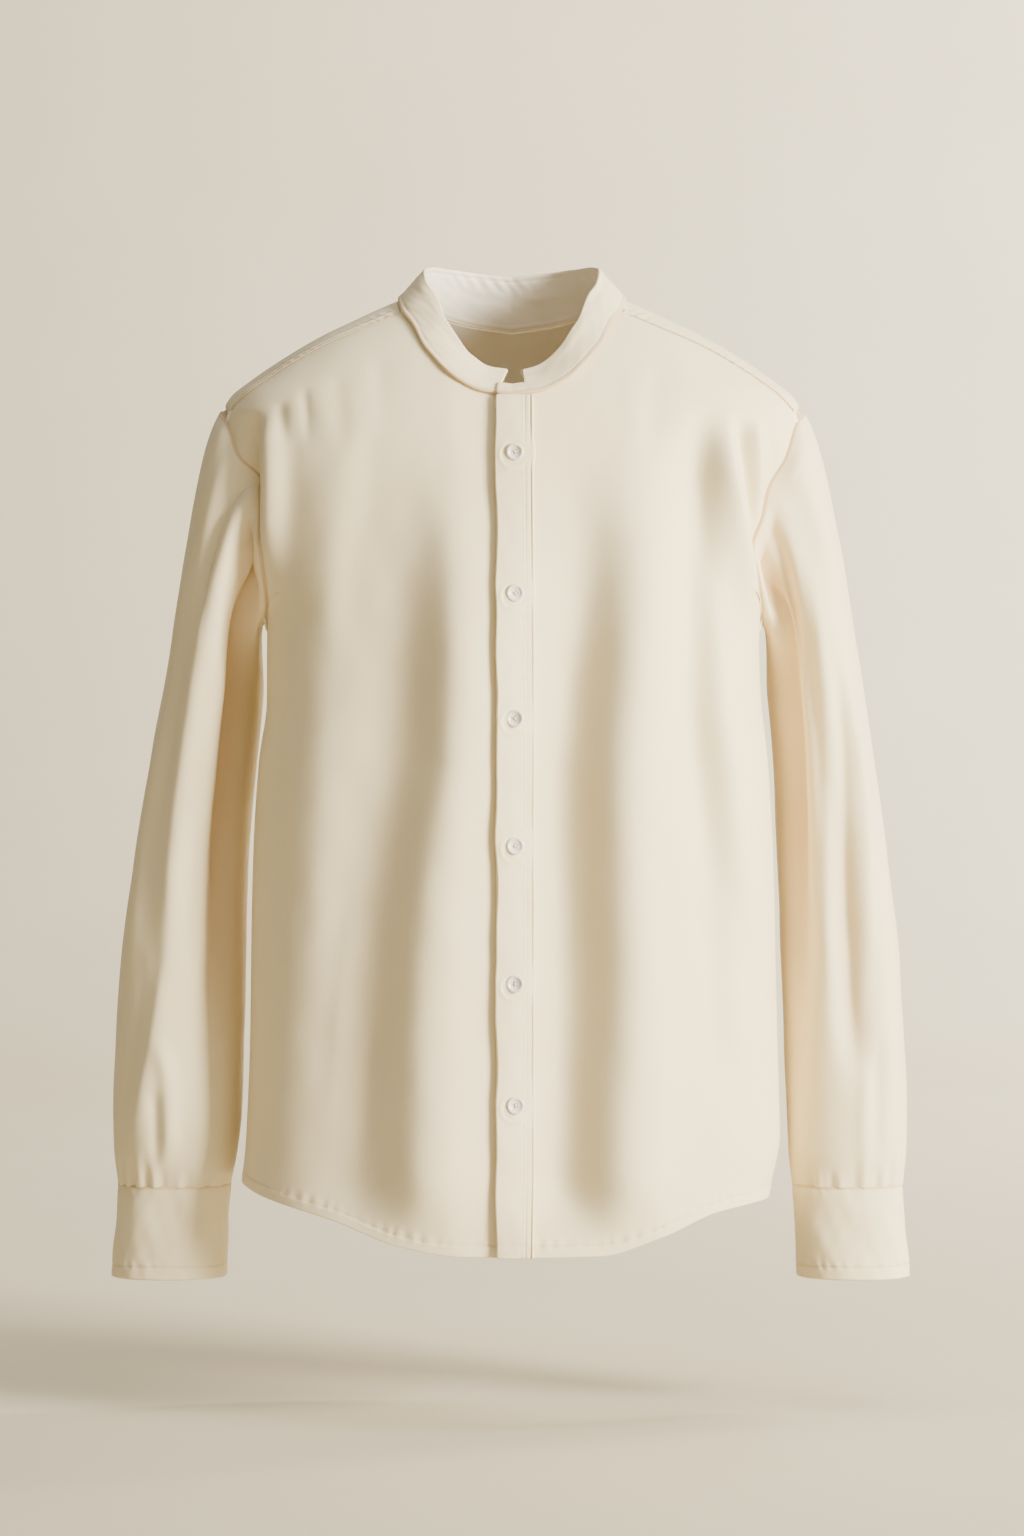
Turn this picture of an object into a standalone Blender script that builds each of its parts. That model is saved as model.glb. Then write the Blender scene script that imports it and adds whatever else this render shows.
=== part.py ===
"""Mandarin collar shirt, worn form with no wearer: hollow body, hanging sleeves, standing collar band.

Metres. +Z up, +X to the wearer's left, the front faces -Y. The origin is the middle of the neck opening at
the height where the shoulders meet the neck. A turn is an angle round the body: 0 is the middle of the
front, +90 degrees the wearer's left side, 180 the middle of the back.
"""

import math

import bmesh
import bpy
import numpy as np
from mathutils import Vector

# ---- driving dimensions -------------------------------------------------------------------------------
WALL = 0.0015  # cloth of the body and the sleeves
DOUBLE_WALL = 0.0020  # collar, cuffs and plackets, which are several layers
GAP = 0.0003  # between pieces at a seam
ROUNDNESS = 2.3  # exponent of the body's sections: 2 is an ellipse
SLEEVE_ROUNDNESS = 2.2

PLACKET_LEFT, BUTTON_LINE, PLACKET_RIGHT = -0.0113, 0.0023, 0.0158  # x of its edges and of the buttons
UNDERLAP = 0.0026  # how far the right front dips to pass under the left one
UNDERLAP_FROM, UNDERLAP_TO = -0.050, -0.016  # x over which it dips

YOKE_BACK_Z = -0.090
NECK_SEAM_TURN = 72.0  # where the yoke's front seam meets the neckline
YOKE_STATION = 0.15  # where the yoke's seams meet the armhole

CUFF_TOP, CUFF_BOTTOM = -0.6811, -0.7515
CUFF_HALF_DEPTH = 0.036
CUFF_LAP = math.radians(34)
CUFF_START = math.radians(78)  # the under end, at the back of the wrist
CUFF_RISE = (2 * math.pi - 1.1, 2 * math.pi - 0.25)  # angles over which the lap climbs on to its own start
CUFF_OUT, CUFF_WIDEN = 0.0045, 0.0010  # how far the cuff's foot moves out, and gains in half-width
SETTLE_STEP = 0.005  # the sleeve's slope at its top level ring is read over this height
CAP_CLOSER = 1.15  # above 1 the rings stand closer near the armhole
SLEEVE_END = -0.6806

BUTTON_HEIGHTS = (-0.119, -0.226, -0.320, -0.4155, -0.519, -0.610)
BUTTON_RADIUS, CUFF_BUTTON_RADIUS = 0.0065, 0.0055
BAND_FOOT = 0.0020  # the placket stops this far under the neckline
TAB_HEIGHT, TAB_FROM = 0.0120, 0.0110  # the collar's low tab over the placket, and the x where it steps up
COLLAR_END = -0.0125  # x where the collar's under end stops at the neckline
COLLAR_END_LEAN = 0.0050  # its top reaches this much further
NECK_FRONT_Z, NECK_END_Z = -0.070, -0.073  # heights near the neckline's front, and at the collar's ends
HEM_HALF_WIDTH, HEM_MEAN_Z = 0.206, -0.70
MIDDLE_UNDERARM_Z = -0.262  # where the underarm's row of facets meets the middle of the front
YOKE_BACK_FOLLOWS = 0.6  # how far the back seam's points follow the spacing of the front ones
STRIP_RINGS, STRIP_CLEAR = 4, 0.00042  # the sleeve placket's rings above the cuff, and its gap to the sleeve
BUTTON_SEAT, BUTTON_SIDES = 0.00039, 18

# Intervals of the faceted grids
SIDE_ROWS, CENTRE_ROWS, NECK_ROWS = 11, 6, 6
FRONT_COLUMNS, BACK_COLUMNS = 8, 16
NECK_COLUMNS, YOKE_ROWS = 10, 6
CAP_RINGS, TUBE_RINGS = 6, 6
CUFF_COLUMNS, CUFF_ROWS = 30, 2
SELVEDGE = 0.10  # where the line beside a seam lies, as a share of the first interval

CLOTH_COLOUR, CLOTH_ROUGHNESS = (0.80, 0.72, 0.58), 0.75
BUTTON_COLOUR, BUTTON_ROUGHNESS = (0.88, 0.84, 0.76), 0.25


def table(columns, *rows):
    """Named columns of numbers."""
    return dict(zip(columns.split(), np.array(rows, float).T))


# Level sections of the body: half-widths to the wearer's left and right, depths from the centre line
BODY = table(
    "z left right front back centre",
    (0.012, 0.076, 0.076, 0.018, 0.046, 0.000),
    (0.008, 0.0865, 0.0865, 0.025, 0.054, 0.000),
    (0.000, 0.105, 0.105, 0.034, 0.062, 0.000),
    (-0.008, 0.122, 0.122, 0.042, 0.069, 0.000),
    (-0.020, 0.147, 0.147, 0.052, 0.076, 0.000),
    (-0.035, 0.173, 0.173, 0.064, 0.083, 0.000),
    (-0.056, 0.204, 0.204, 0.077, 0.090, 0.000),
    (-0.070, 0.2205, 0.2205, 0.084, 0.094, 0.000),
    (-0.084, 0.2265, 0.2265, 0.090, 0.098, 0.000),
    (-0.117, 0.2240, 0.2240, 0.099, 0.105, -0.001),
    (-0.150, 0.2140, 0.2140, 0.103, 0.111, -0.003),
    (-0.185, 0.2040, 0.2040, 0.106, 0.116, -0.006),
    (-0.215, 0.1960, 0.1960, 0.107, 0.119, -0.009),
    (-0.245, 0.1910, 0.1900, 0.107, 0.121, -0.012),
    (-0.304, 0.1930, 0.1900, 0.106, 0.122, -0.016),
    (-0.351, 0.1980, 0.1960, 0.105, 0.121, -0.018),
    (-0.421, 0.2020, 0.2005, 0.104, 0.118, -0.019),
    (-0.480, 0.2035, 0.2020, 0.105, 0.117, -0.019),
    (-0.562, 0.2055, 0.2030, 0.107, 0.117, -0.019),
    (-0.640, 0.2075, 0.2060, 0.111, 0.120, -0.019),
    (-0.690, 0.1985, 0.2100, 0.113, 0.123, -0.019),
    (-0.760, 0.1940, 0.2120, 0.116, 0.127, -0.019),
)

# Neckline from the middle of the front to the middle of the back, and the collar band that rises from it
NECK = table(
    "turn z band_height band_tilt",
    (0, -0.0735, 0.0290, 50),
    (14, -0.0705, 0.0290, 50),
    (27, -0.0618, 0.0292, 49),
    (45, -0.0385, 0.0296, 47),
    (65, -0.0110, 0.0292, 44),
    (90, 0.0080, 0.0285, 41),
    (110, 0.0066, 0.0325, 34),
    (130, 0.0010, 0.0370, 26),
    (152, -0.0062, 0.0410, 17),
    (180, -0.0110, 0.0430, 12),
)

# Front seam of the yoke, from the neckline to the armhole
SHOULDER_SEAM = table(
    "along turn z",
    (0.0, 72.0, -0.0045),
    (0.2, 74.0, -0.0155),
    (0.45, 77.5, -0.0325),
    (0.68, 79.0, -0.0510),
    (0.83, 80.0, -0.0660),
    (1.0, 83.0, -0.0880),
)

# Armhole from the shoulder's end (station 0) to the underarm (station 1), on the front and on the back
ARMHOLE = table(
    "station front back z",
    (0.00, 90.0, 90.0, -0.0795),
    (0.15, 83.0, 97.5, -0.0890),
    (0.32, 79.0, 101.0, -0.1170),
    (0.50, 75.5, 104.0, -0.1500),
    (0.68, 75.0, 104.5, -0.1850),
    (0.84, 77.5, 102.0, -0.2150),
    (0.95, 83.0, 97.0, -0.2370),
    (1.00, 90.0, 90.0, -0.2450),
)

# A button's outline from the middle of its face to the middle of its back, by share of its radius
BUTTON_PROFILE = table(
    "share height",
    (0.00, 0.0016),
    (0.56, 0.0017),
    (0.72, 0.0024),
    (0.88, 0.0026),
    (1.00, 0.0019),
    (0.97, 0.0008),
    (0.80, 0.0000),
    (0.00, 0.0000),
)

# Hem height by x, and how much lower the back hangs
HEM = table(
    "x z",
    (-0.212, -0.6745),
    (-0.190, -0.6830),
    (-0.137, -0.6975),
    (-0.084, -0.7155),
    (-0.040, -0.7222),
    (0.000, -0.7230),
    (0.066, -0.7222),
    (0.111, -0.7095),
    (0.157, -0.6920),
    (0.206, -0.6860),
)
BACK_DROP = 0.020

# The largest folds of the body: x at the top, middle and bottom, the heights between which each runs, its
# half-width, and how far it stands out (or dips)
BODY_FOLDS = table(
    "front x_top x_mid x_low z_top z_low half_width rise",
    (1, -0.072, -0.084, -0.108, -0.090, -0.560, 0.017, -0.0055),
    (1, -0.034, -0.042, -0.062, -0.110, -0.680, 0.015, 0.0030),
    (1, 0.060, 0.047, 0.026, -0.110, -0.700, 0.016, -0.0060),
    (1, 0.084, 0.092, 0.116, -0.150, -0.640, 0.016, 0.0045),
    (1, 0.128, 0.130, 0.138, -0.280, -0.640, 0.015, -0.0035),
    (1, -0.180, -0.182, -0.184, -0.080, -0.235, 0.010, 0.0050),
    (1, -0.202, -0.200, -0.198, -0.095, -0.215, 0.009, -0.0060),
    (1, 0.160, 0.176, 0.186, -0.090, -0.270, 0.010, 0.0045),
    (0, -0.060, -0.072, -0.090, -0.110, -0.640, 0.020, -0.0055),
    (0, 0.066, 0.058, 0.080, -0.110, -0.600, 0.020, -0.0050),
    (0, 0.004, 0.010, 0.004, -0.300, -0.730, 0.018, 0.0040),
    (0, -0.142, -0.134, -0.146, -0.180, -0.660, 0.018, 0.0040),
    (0, 0.140, 0.128, 0.140, -0.160, -0.640, 0.018, 0.0040),
)
FOLD_FADE = 0.070
SIDE_SEAM_CALM = 0.025

# Level sections of the hanging sleeves: outer and inner x of the wearer's left and right one
SLEEVE = table(
    "z out_left in_left out_right in_right depth centre",
    (-0.300, 0.2765, 0.2010, 0.2745, 0.1955, 0.138, 0.028),
    (-0.360, 0.2855, 0.2055, 0.2855, 0.2010, 0.131, 0.026),
    (-0.420, 0.2935, 0.2080, 0.2950, 0.2065, 0.124, 0.023),
    (-0.500, 0.3030, 0.2110, 0.3060, 0.2085, 0.116, 0.018),
    (-0.570, 0.3065, 0.2130, 0.3105, 0.2095, 0.109, 0.012),
    (-0.620, 0.3085, 0.2145, 0.3115, 0.2110, 0.101, 0.008),
    (-0.655, 0.3075, 0.2155, 0.3105, 0.2140, 0.088, 0.004),
    (-0.6806, 0.3045, 0.2185, 0.3070, 0.2190, 0.072, 0.002),
)
SLEEVE_TOP = -0.300  # below this the rings are level

# How each line of the sleeve leaves the armhole, by its angle round it: 0 the top, 90 the front, 180 below
SLEEVE_START = table(
    "angle out forward down reach",
    (0, 0.50, 0.00, 0.87, 0.40),
    (45, 0.80, 0.30, 0.45, 0.45),
    (90, 0.95, 0.25, 0.20, 0.55),
    (135, 0.95, 0.15, 0.20, 0.60),
    (180, 0.80, 0.00, 0.60, 0.50),
)

# The largest folds of a sleeve: angle round it (0 outside, 90 front) at the top and the bottom
SLEEVE_FOLDS = table(
    "left angle_top angle_low z_top z_low half_width rise",
    (1, 105, 80, -0.200, -0.620, 15, -0.0050),
    (1, 60, 45, -0.250, -0.640, 14, 0.0030),
    (0, 42, 38, -0.160, -0.560, 12, 0.0030),
    (0, 130, 118, -0.240, -0.640, 15, -0.0040),
    (1, 262, 250, -0.260, -0.600, 16, -0.0040),
    (0, 258, 270, -0.260, -0.600, 16, -0.0040),
)


# ---- curves ---------------------------------------------------------------------------------------------
def smooth(at, xs, ys):
    """A cubic curve through the points (xs, ys) that never overshoots them, level past its ends."""
    if xs[0] > xs[-1]:
        xs, ys = xs[::-1], ys[::-1]
    at = np.clip(at, xs[0], xs[-1])
    step, slope = np.diff(xs), np.diff(ys) / np.diff(xs)
    bend = slope[:-1] * slope[1:]
    total = slope[:-1] + slope[1:]
    inner = np.where(bend > 0, 2 * bend / np.where(total == 0, 1, total), 0)
    tangent = np.concatenate([slope[:1], inner, slope[-1:]])
    k = np.clip(np.searchsorted(xs, at, side="right") - 1, 0, len(step) - 1)
    t, h = (at - xs[k]) / step[k], step[k]
    return (
        (2 * t**3 - 3 * t**2 + 1) * ys[k]
        + (t**3 - 2 * t**2 + t) * h * tangent[k]
        + (3 * t**2 - 2 * t**3) * ys[k + 1]
        + (t**3 - t**2) * h * tangent[k + 1]
    )


def ramp(value, start, end):
    """0 before start, 1 past end, an even S between."""
    t = np.clip((value - start) / (end - start), 0, 1)
    return t * t * (3 - 2 * t)


def power(value, exponent):
    return np.sign(value) * np.abs(value) ** exponent


# ---- the body's form --------------------------------------------------------------------------------------
def body_size(z, turn):
    """(half-width, depth, centre) of the section at z, on the side that turn faces."""
    left, right, front, back, centre = (
        smooth(z, BODY["z"], BODY[name]) for name in ("left", "right", "front", "back", "centre")
    )
    return np.where(np.sin(turn) > 0, left, right), np.where(np.cos(turn) > 0, front, back), centre


def body_form(turn, z):
    """The body without its folds."""
    width, depth, centre = body_size(z, turn)
    across, along = np.sin(turn), np.cos(turn)
    reach = (np.abs(across / width) ** ROUNDNESS + np.abs(along / depth) ** ROUNDNESS) ** (-1 / ROUNDNESS)
    return np.stack([reach * across, centre - reach * along, z + 0 * reach], -1)


def body_out(turn, z):
    """The level direction straight out of the body's form."""
    width, depth, centre = body_size(z, turn)
    point = body_form(turn, z)
    out_x = power(point[..., 0] / width, ROUNDNESS - 1) / width
    out_y = power((point[..., 1] - centre) / depth, ROUNDNESS - 1) / depth
    length = np.hypot(out_x, out_y)
    return np.stack([out_x / length, out_y / length, 0 * length], -1)


def fold_rise(point, on_front):
    """How far the folds lift the cloth at a point of the form. They end before the side seams."""
    x, z = point[..., 0], point[..., 2]
    beside = ramp(np.abs(point[..., 1] - smooth(z, BODY["z"], BODY["centre"])), 0, SIDE_SEAM_CALM)
    total = 0 * x
    for front, x_top, x_mid, x_low, z_top, z_low, half_width, rise in zip(*BODY_FOLDS.values()):
        t = np.clip((z_top - z) / (z_top - z_low), 0, 1)
        middle = x_top * (1 - t) * (1 - 2 * t) + 4 * x_mid * t * (1 - t) + x_low * t * (2 * t - 1)
        fade = ramp(z, z_low, z_low + FOLD_FADE) * (1 - ramp(z, z_top - FOLD_FADE, z_top))
        lift = rise * np.exp(-(((x - middle) / half_width) ** 2)) * fade
        total = total + np.where(on_front == (front == 1), lift, 0)
    return total * beside


def body_surface(turn, z, under=False):
    """The outside of the cloth. The right front dips near the middle, to pass under the left one."""
    turn, z = np.broadcast_arrays(np.asarray(turn, float), np.asarray(z, float))
    point = body_form(turn, z)
    rise = fold_rise(point, np.cos(turn) > 0)
    if under:
        rise = rise - UNDERLAP * ramp(point[..., 0], UNDERLAP_FROM, UNDERLAP_TO)
    return point + rise[..., None] * body_out(turn, z)


def surface_normal(turn, z, under=False):
    step = 1e-4
    turned = body_surface(turn + step, z, under) - body_surface(turn - step, z, under)
    risen = body_surface(turn, z + step, under) - body_surface(turn, z - step, under)
    out = np.cross(turned, risen)
    return out / np.linalg.norm(out, axis=-1, keepdims=True)


def turn_at(x, z):
    """The turn of the front's point at this x."""
    width = np.where(x > 0, smooth(z, BODY["z"], BODY["left"]), smooth(z, BODY["z"], BODY["right"]))
    inside = np.clip(1 - np.abs(x / width) ** ROUNDNESS, 0, 1)
    return np.arctan2(x, smooth(z, BODY["z"], BODY["front"]) * inside ** (1 / ROUNDNESS))


def height_over(x, y):
    """Height of the shoulders' surface over a point of the plan, by halving."""
    low, high = np.full(np.shape(x), -0.25), np.full(np.shape(x), 0.012)
    for _ in range(40):
        z = (low + high) / 2
        turn = np.arctan2(x, smooth(z, BODY["z"], BODY["centre"]) - y)
        width, depth, centre = body_size(z, turn)
        outside = np.abs(x / width) ** ROUNDNESS + np.abs((y - centre) / depth) ** ROUNDNESS > 1
        low, high = np.where(outside, low, z), np.where(outside, z, high)
    return (low + high) / 2


def neck_z(turn):
    return smooth(np.abs(np.degrees(turn)), NECK["turn"], NECK["z"])


def corner_turn(x):
    """The turn at which the neckline passes this x, near the middle of the front."""
    return turn_at(x, neck_z(turn_at(x, NECK_FRONT_Z)))


def hem_z(x, back):
    drop = BACK_DROP * (1 - (x / HEM_HALF_WIDTH) ** 2) if back else 0 * x
    return smooth(x, HEM["x"], HEM["z"]) - drop


def armhole(stations, side, back):
    """(turn, z) pairs along one side's armhole."""
    turns = smooth(stations, ARMHOLE["station"], ARMHOLE["back" if back else "front"])
    return np.stack([side * np.radians(turns), smooth(stations, ARMHOLE["station"], ARMHOLE["z"])], -1)


# ---- grids of (turn, z) pairs -----------------------------------------------------------------------------
def patch(first, last, bottom, top):
    """A grid inside four edges: its rows run from the first edge to the last, stacked upwards."""
    u = np.linspace(0, 1, len(bottom))[None, :, None]
    v = np.linspace(0, 1, len(first))[:, None, None]
    sides = (1 - u) * first[:, None] + u * last[:, None]
    ends = (1 - v) * bottom[None] + v * top[None]
    lower = (1 - u) * bottom[0] + u * bottom[-1]
    upper = (1 - u) * top[0] + u * top[-1]
    return sides + ends - (1 - v) * lower - v * upper


def selvedge(grid, edges):
    """The grid with one more line close to each named edge, so that a wall there stands square to its cloth."""
    for edge in edges.split():
        lines = grid if edge in ("bottom", "top") else grid.swapaxes(0, 1)
        lines = lines if edge in ("bottom", "first") else lines[::-1]
        lines = np.concatenate([lines[:1], lines[:1] + (lines[1:2] - lines[:1]) * SELVEDGE, lines[1:]])
        lines = lines if edge in ("bottom", "first") else lines[::-1]
        grid = lines if edge in ("bottom", "top") else lines.swapaxes(0, 1)
    return grid


ARM_STATIONS = np.linspace(1, YOKE_STATION, CENTRE_ROWS + NECK_ROWS + 1)


def side_edge(side, back):
    """From the hem up the side seam, and on up the armhole to the yoke."""
    seam = side * (math.pi / 2 + (1 if back else -1) * GAP / 2 / BODY["left"].max())
    z = np.linspace(hem_z(side * HEM_HALF_WIDTH, False), ARMHOLE["z"][-1], SIDE_ROWS + 1)
    hole = armhole(ARM_STATIONS, side, back)
    hole[0, 0] = seam
    return np.concatenate([np.stack([0 * z + seam, z], -1)[:-1], hole])


def shoulder_seam(along, shift):
    """(turn, z) pairs along the yoke's front seam on the left side, moved up by shift."""
    turns = np.radians(smooth(along, SHOULDER_SEAM["along"], SHOULDER_SEAM["turn"]))
    return np.stack([turns, smooth(along, SHOULDER_SEAM["along"], SHOULDER_SEAM["z"]) + shift], -1)


def front_lines(x):
    """Heights of the rows along a line of the front at this x, from the hem to the neckline."""
    top = neck_z(corner_turn(x))
    low = np.linspace(hem_z(x, False), MIDDLE_UNDERARM_Z, SIDE_ROWS + 1)
    high = np.linspace(MIDDLE_UNDERARM_Z, top, CENTRE_ROWS + 1)
    z = np.concatenate([low[:-1], high])
    return np.stack([turn_at(x + 0 * z, z), z], -1)


def front_grids(side):
    """The strip by the middle and the rest of one front, as (turn, z) grids."""
    strip = [front_lines(x) for x in (PLACKET_LEFT, BUTTON_LINE, PLACKET_RIGHT)]
    if side < 0:
        strip = strip[::-1]
    inner = strip[-1]
    neck_turns = np.linspace(inner[-1, 0], side * math.radians(NECK_SEAM_TURN), NECK_ROWS + 1)[1:]
    neck = np.stack([neck_turns, neck_z(neck_turns)], -1)
    first = np.concatenate([inner, neck])
    last = side_edge(side, False)
    hem_x = np.linspace(body_form(*first[0])[0], body_form(*last[0])[0], FRONT_COLUMNS + 1)
    hem_height = hem_z(hem_x, False)
    hem = np.stack([turn_at(hem_x, hem_height), hem_height], -1)
    hem[0], hem[-1] = first[0], last[0]
    seam = shoulder_seam(np.linspace(0, 1, FRONT_COLUMNS + 1), -GAP) * (side, 1)
    seam[:1, 1], seam[-1:, 1] = np.minimum(seam[:1, 1], first[-1, 1]), np.minimum(seam[-1:, 1], last[-1, 1])
    first[-1], last[-1] = (first[-1, 0], seam[0, 1]), (last[-1, 0], seam[-1, 1])
    seam[0], seam[-1] = first[-1], last[-1]
    return np.stack(strip, 1), selvedge(patch(first, last, hem, seam), "last top")


def back_grid():
    left, right = side_edge(1, True), side_edge(-1, True)
    right[:, 0] += 2 * math.pi
    share = np.linspace(0, 1, BACK_COLUMNS + 1)
    hem_turn = left[0, 0] + share * (right[0, 0] - left[0, 0])
    hem_x = body_form(hem_turn, np.full_like(hem_turn, HEM_MEAN_Z))[:, 0]
    hem = np.stack([hem_turn, hem_z(hem_x, True)], -1)
    top_turn = left[-1, 0] + share * (right[-1, 0] - left[-1, 0])
    top = np.stack([top_turn, np.full_like(top_turn, YOKE_BACK_Z - GAP / 2)], -1)
    left[-1], right[-1], hem[0], hem[-1] = top[0], top[-1], left[0], right[0]
    return selvedge(patch(left, right, hem, top), "first last top")


def yoke_grid():
    """The yoke's surface: its edges are joined in plan, and the points lifted to the shoulders."""
    seam = shoulder_seam(np.linspace(1, 0, FRONT_COLUMNS + 1), GAP)
    round_neck = np.radians(np.linspace(NECK_SEAM_TURN, 360 - NECK_SEAM_TURN, NECK_COLUMNS + 1))
    neck = np.stack([round_neck, neck_z(math.pi - np.abs(round_neck - math.pi))], -1)
    other = seam[::-1] * (-1, 1) + (2 * math.pi, 0)
    front = np.concatenate([seam, neck[1:-1], other])
    seam_x = body_form(*front.T)[:, 0]
    even = np.linspace(1, -1, len(front))
    back_x = even + YOKE_BACK_FOLLOWS * (seam_x / seam_x[0] - even)
    end = armhole(np.array([YOKE_STATION]), 1, True)[0]
    back_z = YOKE_BACK_Z + GAP / 2
    width, depth, centre = body_size(back_z, end[0])
    back_x = back_x / back_x[0] * body_form(end[0], back_z)[0]
    back_y = centre + depth * (1 - np.abs(back_x / width) ** ROUNDNESS) ** (1 / ROUNDNESS)
    half = YOKE_ROWS // 2
    stations = np.linspace(YOKE_STATION, 0, half + 1)
    end_line = np.concatenate([armhole(stations, 1, False), armhole(stations[::-1][1:], 1, True)])
    front_xy = body_form(*front.T)[:, :2]
    back_xy = np.stack([back_x, back_y], -1)
    left = body_form(*end_line.T)[:, :2]
    left[0], left[-1] = front_xy[0], back_xy[0]
    plan = patch(left, left * (-1, 1), front_xy, back_xy)
    z = height_over(plan[..., 0], plan[..., 1])
    z[0], z[-1] = front[:, 1], back_z
    z[:, 0] = z[:, -1] = np.concatenate([front[:1, 1], end_line[1:-1, 1], [back_z]])
    turn = np.arctan2(plan[..., 0], smooth(z, BODY["z"], BODY["centre"]) - plan[..., 1])
    turn = np.where(turn < 0, turn + 2 * math.pi, turn)
    return selvedge(np.stack([turn, z], -1), "bottom top")


# ---- grids of points ----------------------------------------------------------------------------------------
def normals(points, closed=False):
    """Unit normals of a grid of points, along cross(column step, row step)."""
    wrapped = np.concatenate([points[:, -1:], points, points[:, :1]], 1) if closed else points
    across = np.gradient(wrapped, axis=1)
    if closed:
        across = across[:, 1:-1]
    up = np.gradient(points, axis=0)
    normal = np.cross(across, up)
    return normal / np.linalg.norm(normal, axis=-1, keepdims=True)


def armhole_ring(side):
    """Samples of the armhole that the panels beside it share: top, front, underarm, back."""
    half = YOKE_ROWS // 2
    stations = np.concatenate([np.linspace(0, YOKE_STATION, half + 1)[:-1], ARM_STATIONS[::-1]])
    down, up = armhole(stations, side, False), armhole(stations[::-1][1:-1], side, True)
    ring = np.concatenate([down, up])
    angle = np.concatenate([stations * 180, 360 - stations[::-1][1:-1] * 180])
    return ring, angle


def sleeve_ring(angle, z, side):
    """One level ring of a sleeve: angle 0 is the outside, 90 the front."""
    name = "left" if side > 0 else "right"
    outer = smooth(z, SLEEVE["z"], SLEEVE["out_" + name])
    inner = smooth(z, SLEEVE["z"], SLEEVE["in_" + name])
    half_depth = smooth(z, SLEEVE["z"], SLEEVE["depth"]) / 2
    centre = smooth(z, SLEEVE["z"], SLEEVE["centre"])
    a = np.radians(angle)
    exponent = 2 / SLEEVE_ROUNDNESS
    across = power(np.cos(a), exponent) * (outer - inner) / 2 + (outer + inner) / 2
    return np.stack([side * across, centre - power(np.sin(a), exponent) * half_depth, z + 0 * a], -1)


def sleeve_folds(points, out, angle, side):
    z = points[..., 2]
    total = 0 * z
    for left, angle_top, angle_low, z_top, z_low, half_width, rise in zip(*SLEEVE_FOLDS.values()):
        along = np.clip((z_top - z) / (z_top - z_low), 0, 1)
        away = angle - (angle_top + (angle_low - angle_top) * along)
        fade = ramp(z, z_low, z_low + FOLD_FADE) * (1 - ramp(z, z_top - FOLD_FADE, z_top))
        if (left == 1) == (side > 0):
            total = total + rise * np.exp(-((away / half_width) ** 2)) * fade
    return points + total[..., None] * out


def sleeve_points(side):
    """Rings down the sleeve: curves leave the armhole and settle into level rings, then on to the cuff."""
    ring, angle = armhole_ring(side)
    start = body_surface(*ring.T) + surface_normal(*ring.T) * (GAP + WALL)
    folded = np.abs(angle - 360 * (angle > 180))
    way = [smooth(folded, SLEEVE_START["angle"], SLEEVE_START[c]) for c in ("out", "forward", "down", "reach")]
    forward = np.where(angle > 180, -way[1], way[1])
    leave = np.stack([side * way[0], -forward, -way[2]], -1)
    leave /= np.linalg.norm(leave, axis=-1, keepdims=True)
    settle = sleeve_ring(angle, SLEEVE_TOP, side)
    below = sleeve_ring(angle, SLEEVE_TOP - SETTLE_STEP, side)
    fall = (below - settle) / np.linalg.norm(below - settle, axis=-1, keepdims=True)
    length = np.linalg.norm(settle - start, axis=-1)[:, None]
    t = (np.linspace(0, 1, CAP_RINGS + 1) ** CAP_CLOSER)[:, None, None]
    leaving = (2 * t**3 - 3 * t**2 + 1) * start + (t**3 - 2 * t**2 + t) * leave * length * way[3][:, None]
    settling = (3 * t**2 - 2 * t**3) * settle + (t**3 - t**2) * fall * length
    heights = np.linspace(SLEEVE_TOP, SLEEVE_END, TUBE_RINGS + 1)[1:]
    points = np.concatenate([leaving + settling, [sleeve_ring(angle, z, side) for z in heights]])
    return sleeve_folds(points, outward(points, side), angle, side)


def outward(points, side):
    """Outward unit normals of a sleeve's rings."""
    return normals(points, closed=True) * side


def cuff_points(side):
    """Two edges of a cuff: once round and a lap more, the lap lying outside its own start."""
    name = "left" if side > 0 else "right"
    outer, inner = SLEEVE["out_" + name][-1], SLEEVE["in_" + name][-1]
    angles = CUFF_START + np.linspace(0, 2 * math.pi + CUFF_LAP, CUFF_COLUMNS + 1)
    lift = (DOUBLE_WALL + GAP) * ramp(angles - CUFF_START, *CUFF_RISE)
    exponent = 2 / SLEEVE_ROUNDNESS
    rows = []
    for share in np.linspace(0, 1, CUFF_ROWS + 1):
        centre = (outer + inner) / 2 + CUFF_OUT * share
        half_width, half_depth = (outer - inner) / 2 + CUFF_WIDEN * share + lift, CUFF_HALF_DEPTH + lift
        x = side * (centre + power(np.cos(angles), exponent) * half_width)
        y = SLEEVE["centre"][-1] + power(np.sin(angles), exponent) * half_depth
        rows.append(np.stack([x, y, CUFF_TOP + share * (CUFF_BOTTOM - CUFF_TOP) + 0 * angles], -1))
    return np.array(rows)


def band_points():
    """Turns along the collar band, from its under end round the back to the tab, and which pass under it."""
    neck_turn = math.radians(NECK_SEAM_TURN)
    corner = [corner_turn(x) for x in (PLACKET_RIGHT, PLACKET_LEFT)]
    end = turn_at(COLLAR_END, NECK_END_Z)
    right = np.concatenate([[end], np.linspace(corner[1], -neck_turn, NECK_ROWS + 1)[1:]])
    round_back = np.linspace(-neck_turn, neck_turn - 2 * math.pi, NECK_COLUMNS + 1)[1:-1]
    tab_foot = turn_at(TAB_FROM, NECK_END_Z)
    left = np.concatenate([np.linspace(neck_turn, corner[0], NECK_ROWS + 1), [tab_foot]])
    turns = np.concatenate([right, round_back, left])
    under = np.concatenate([np.ones(len(right), bool), np.zeros(len(turns) - len(right), bool)])
    return turns, under


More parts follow.
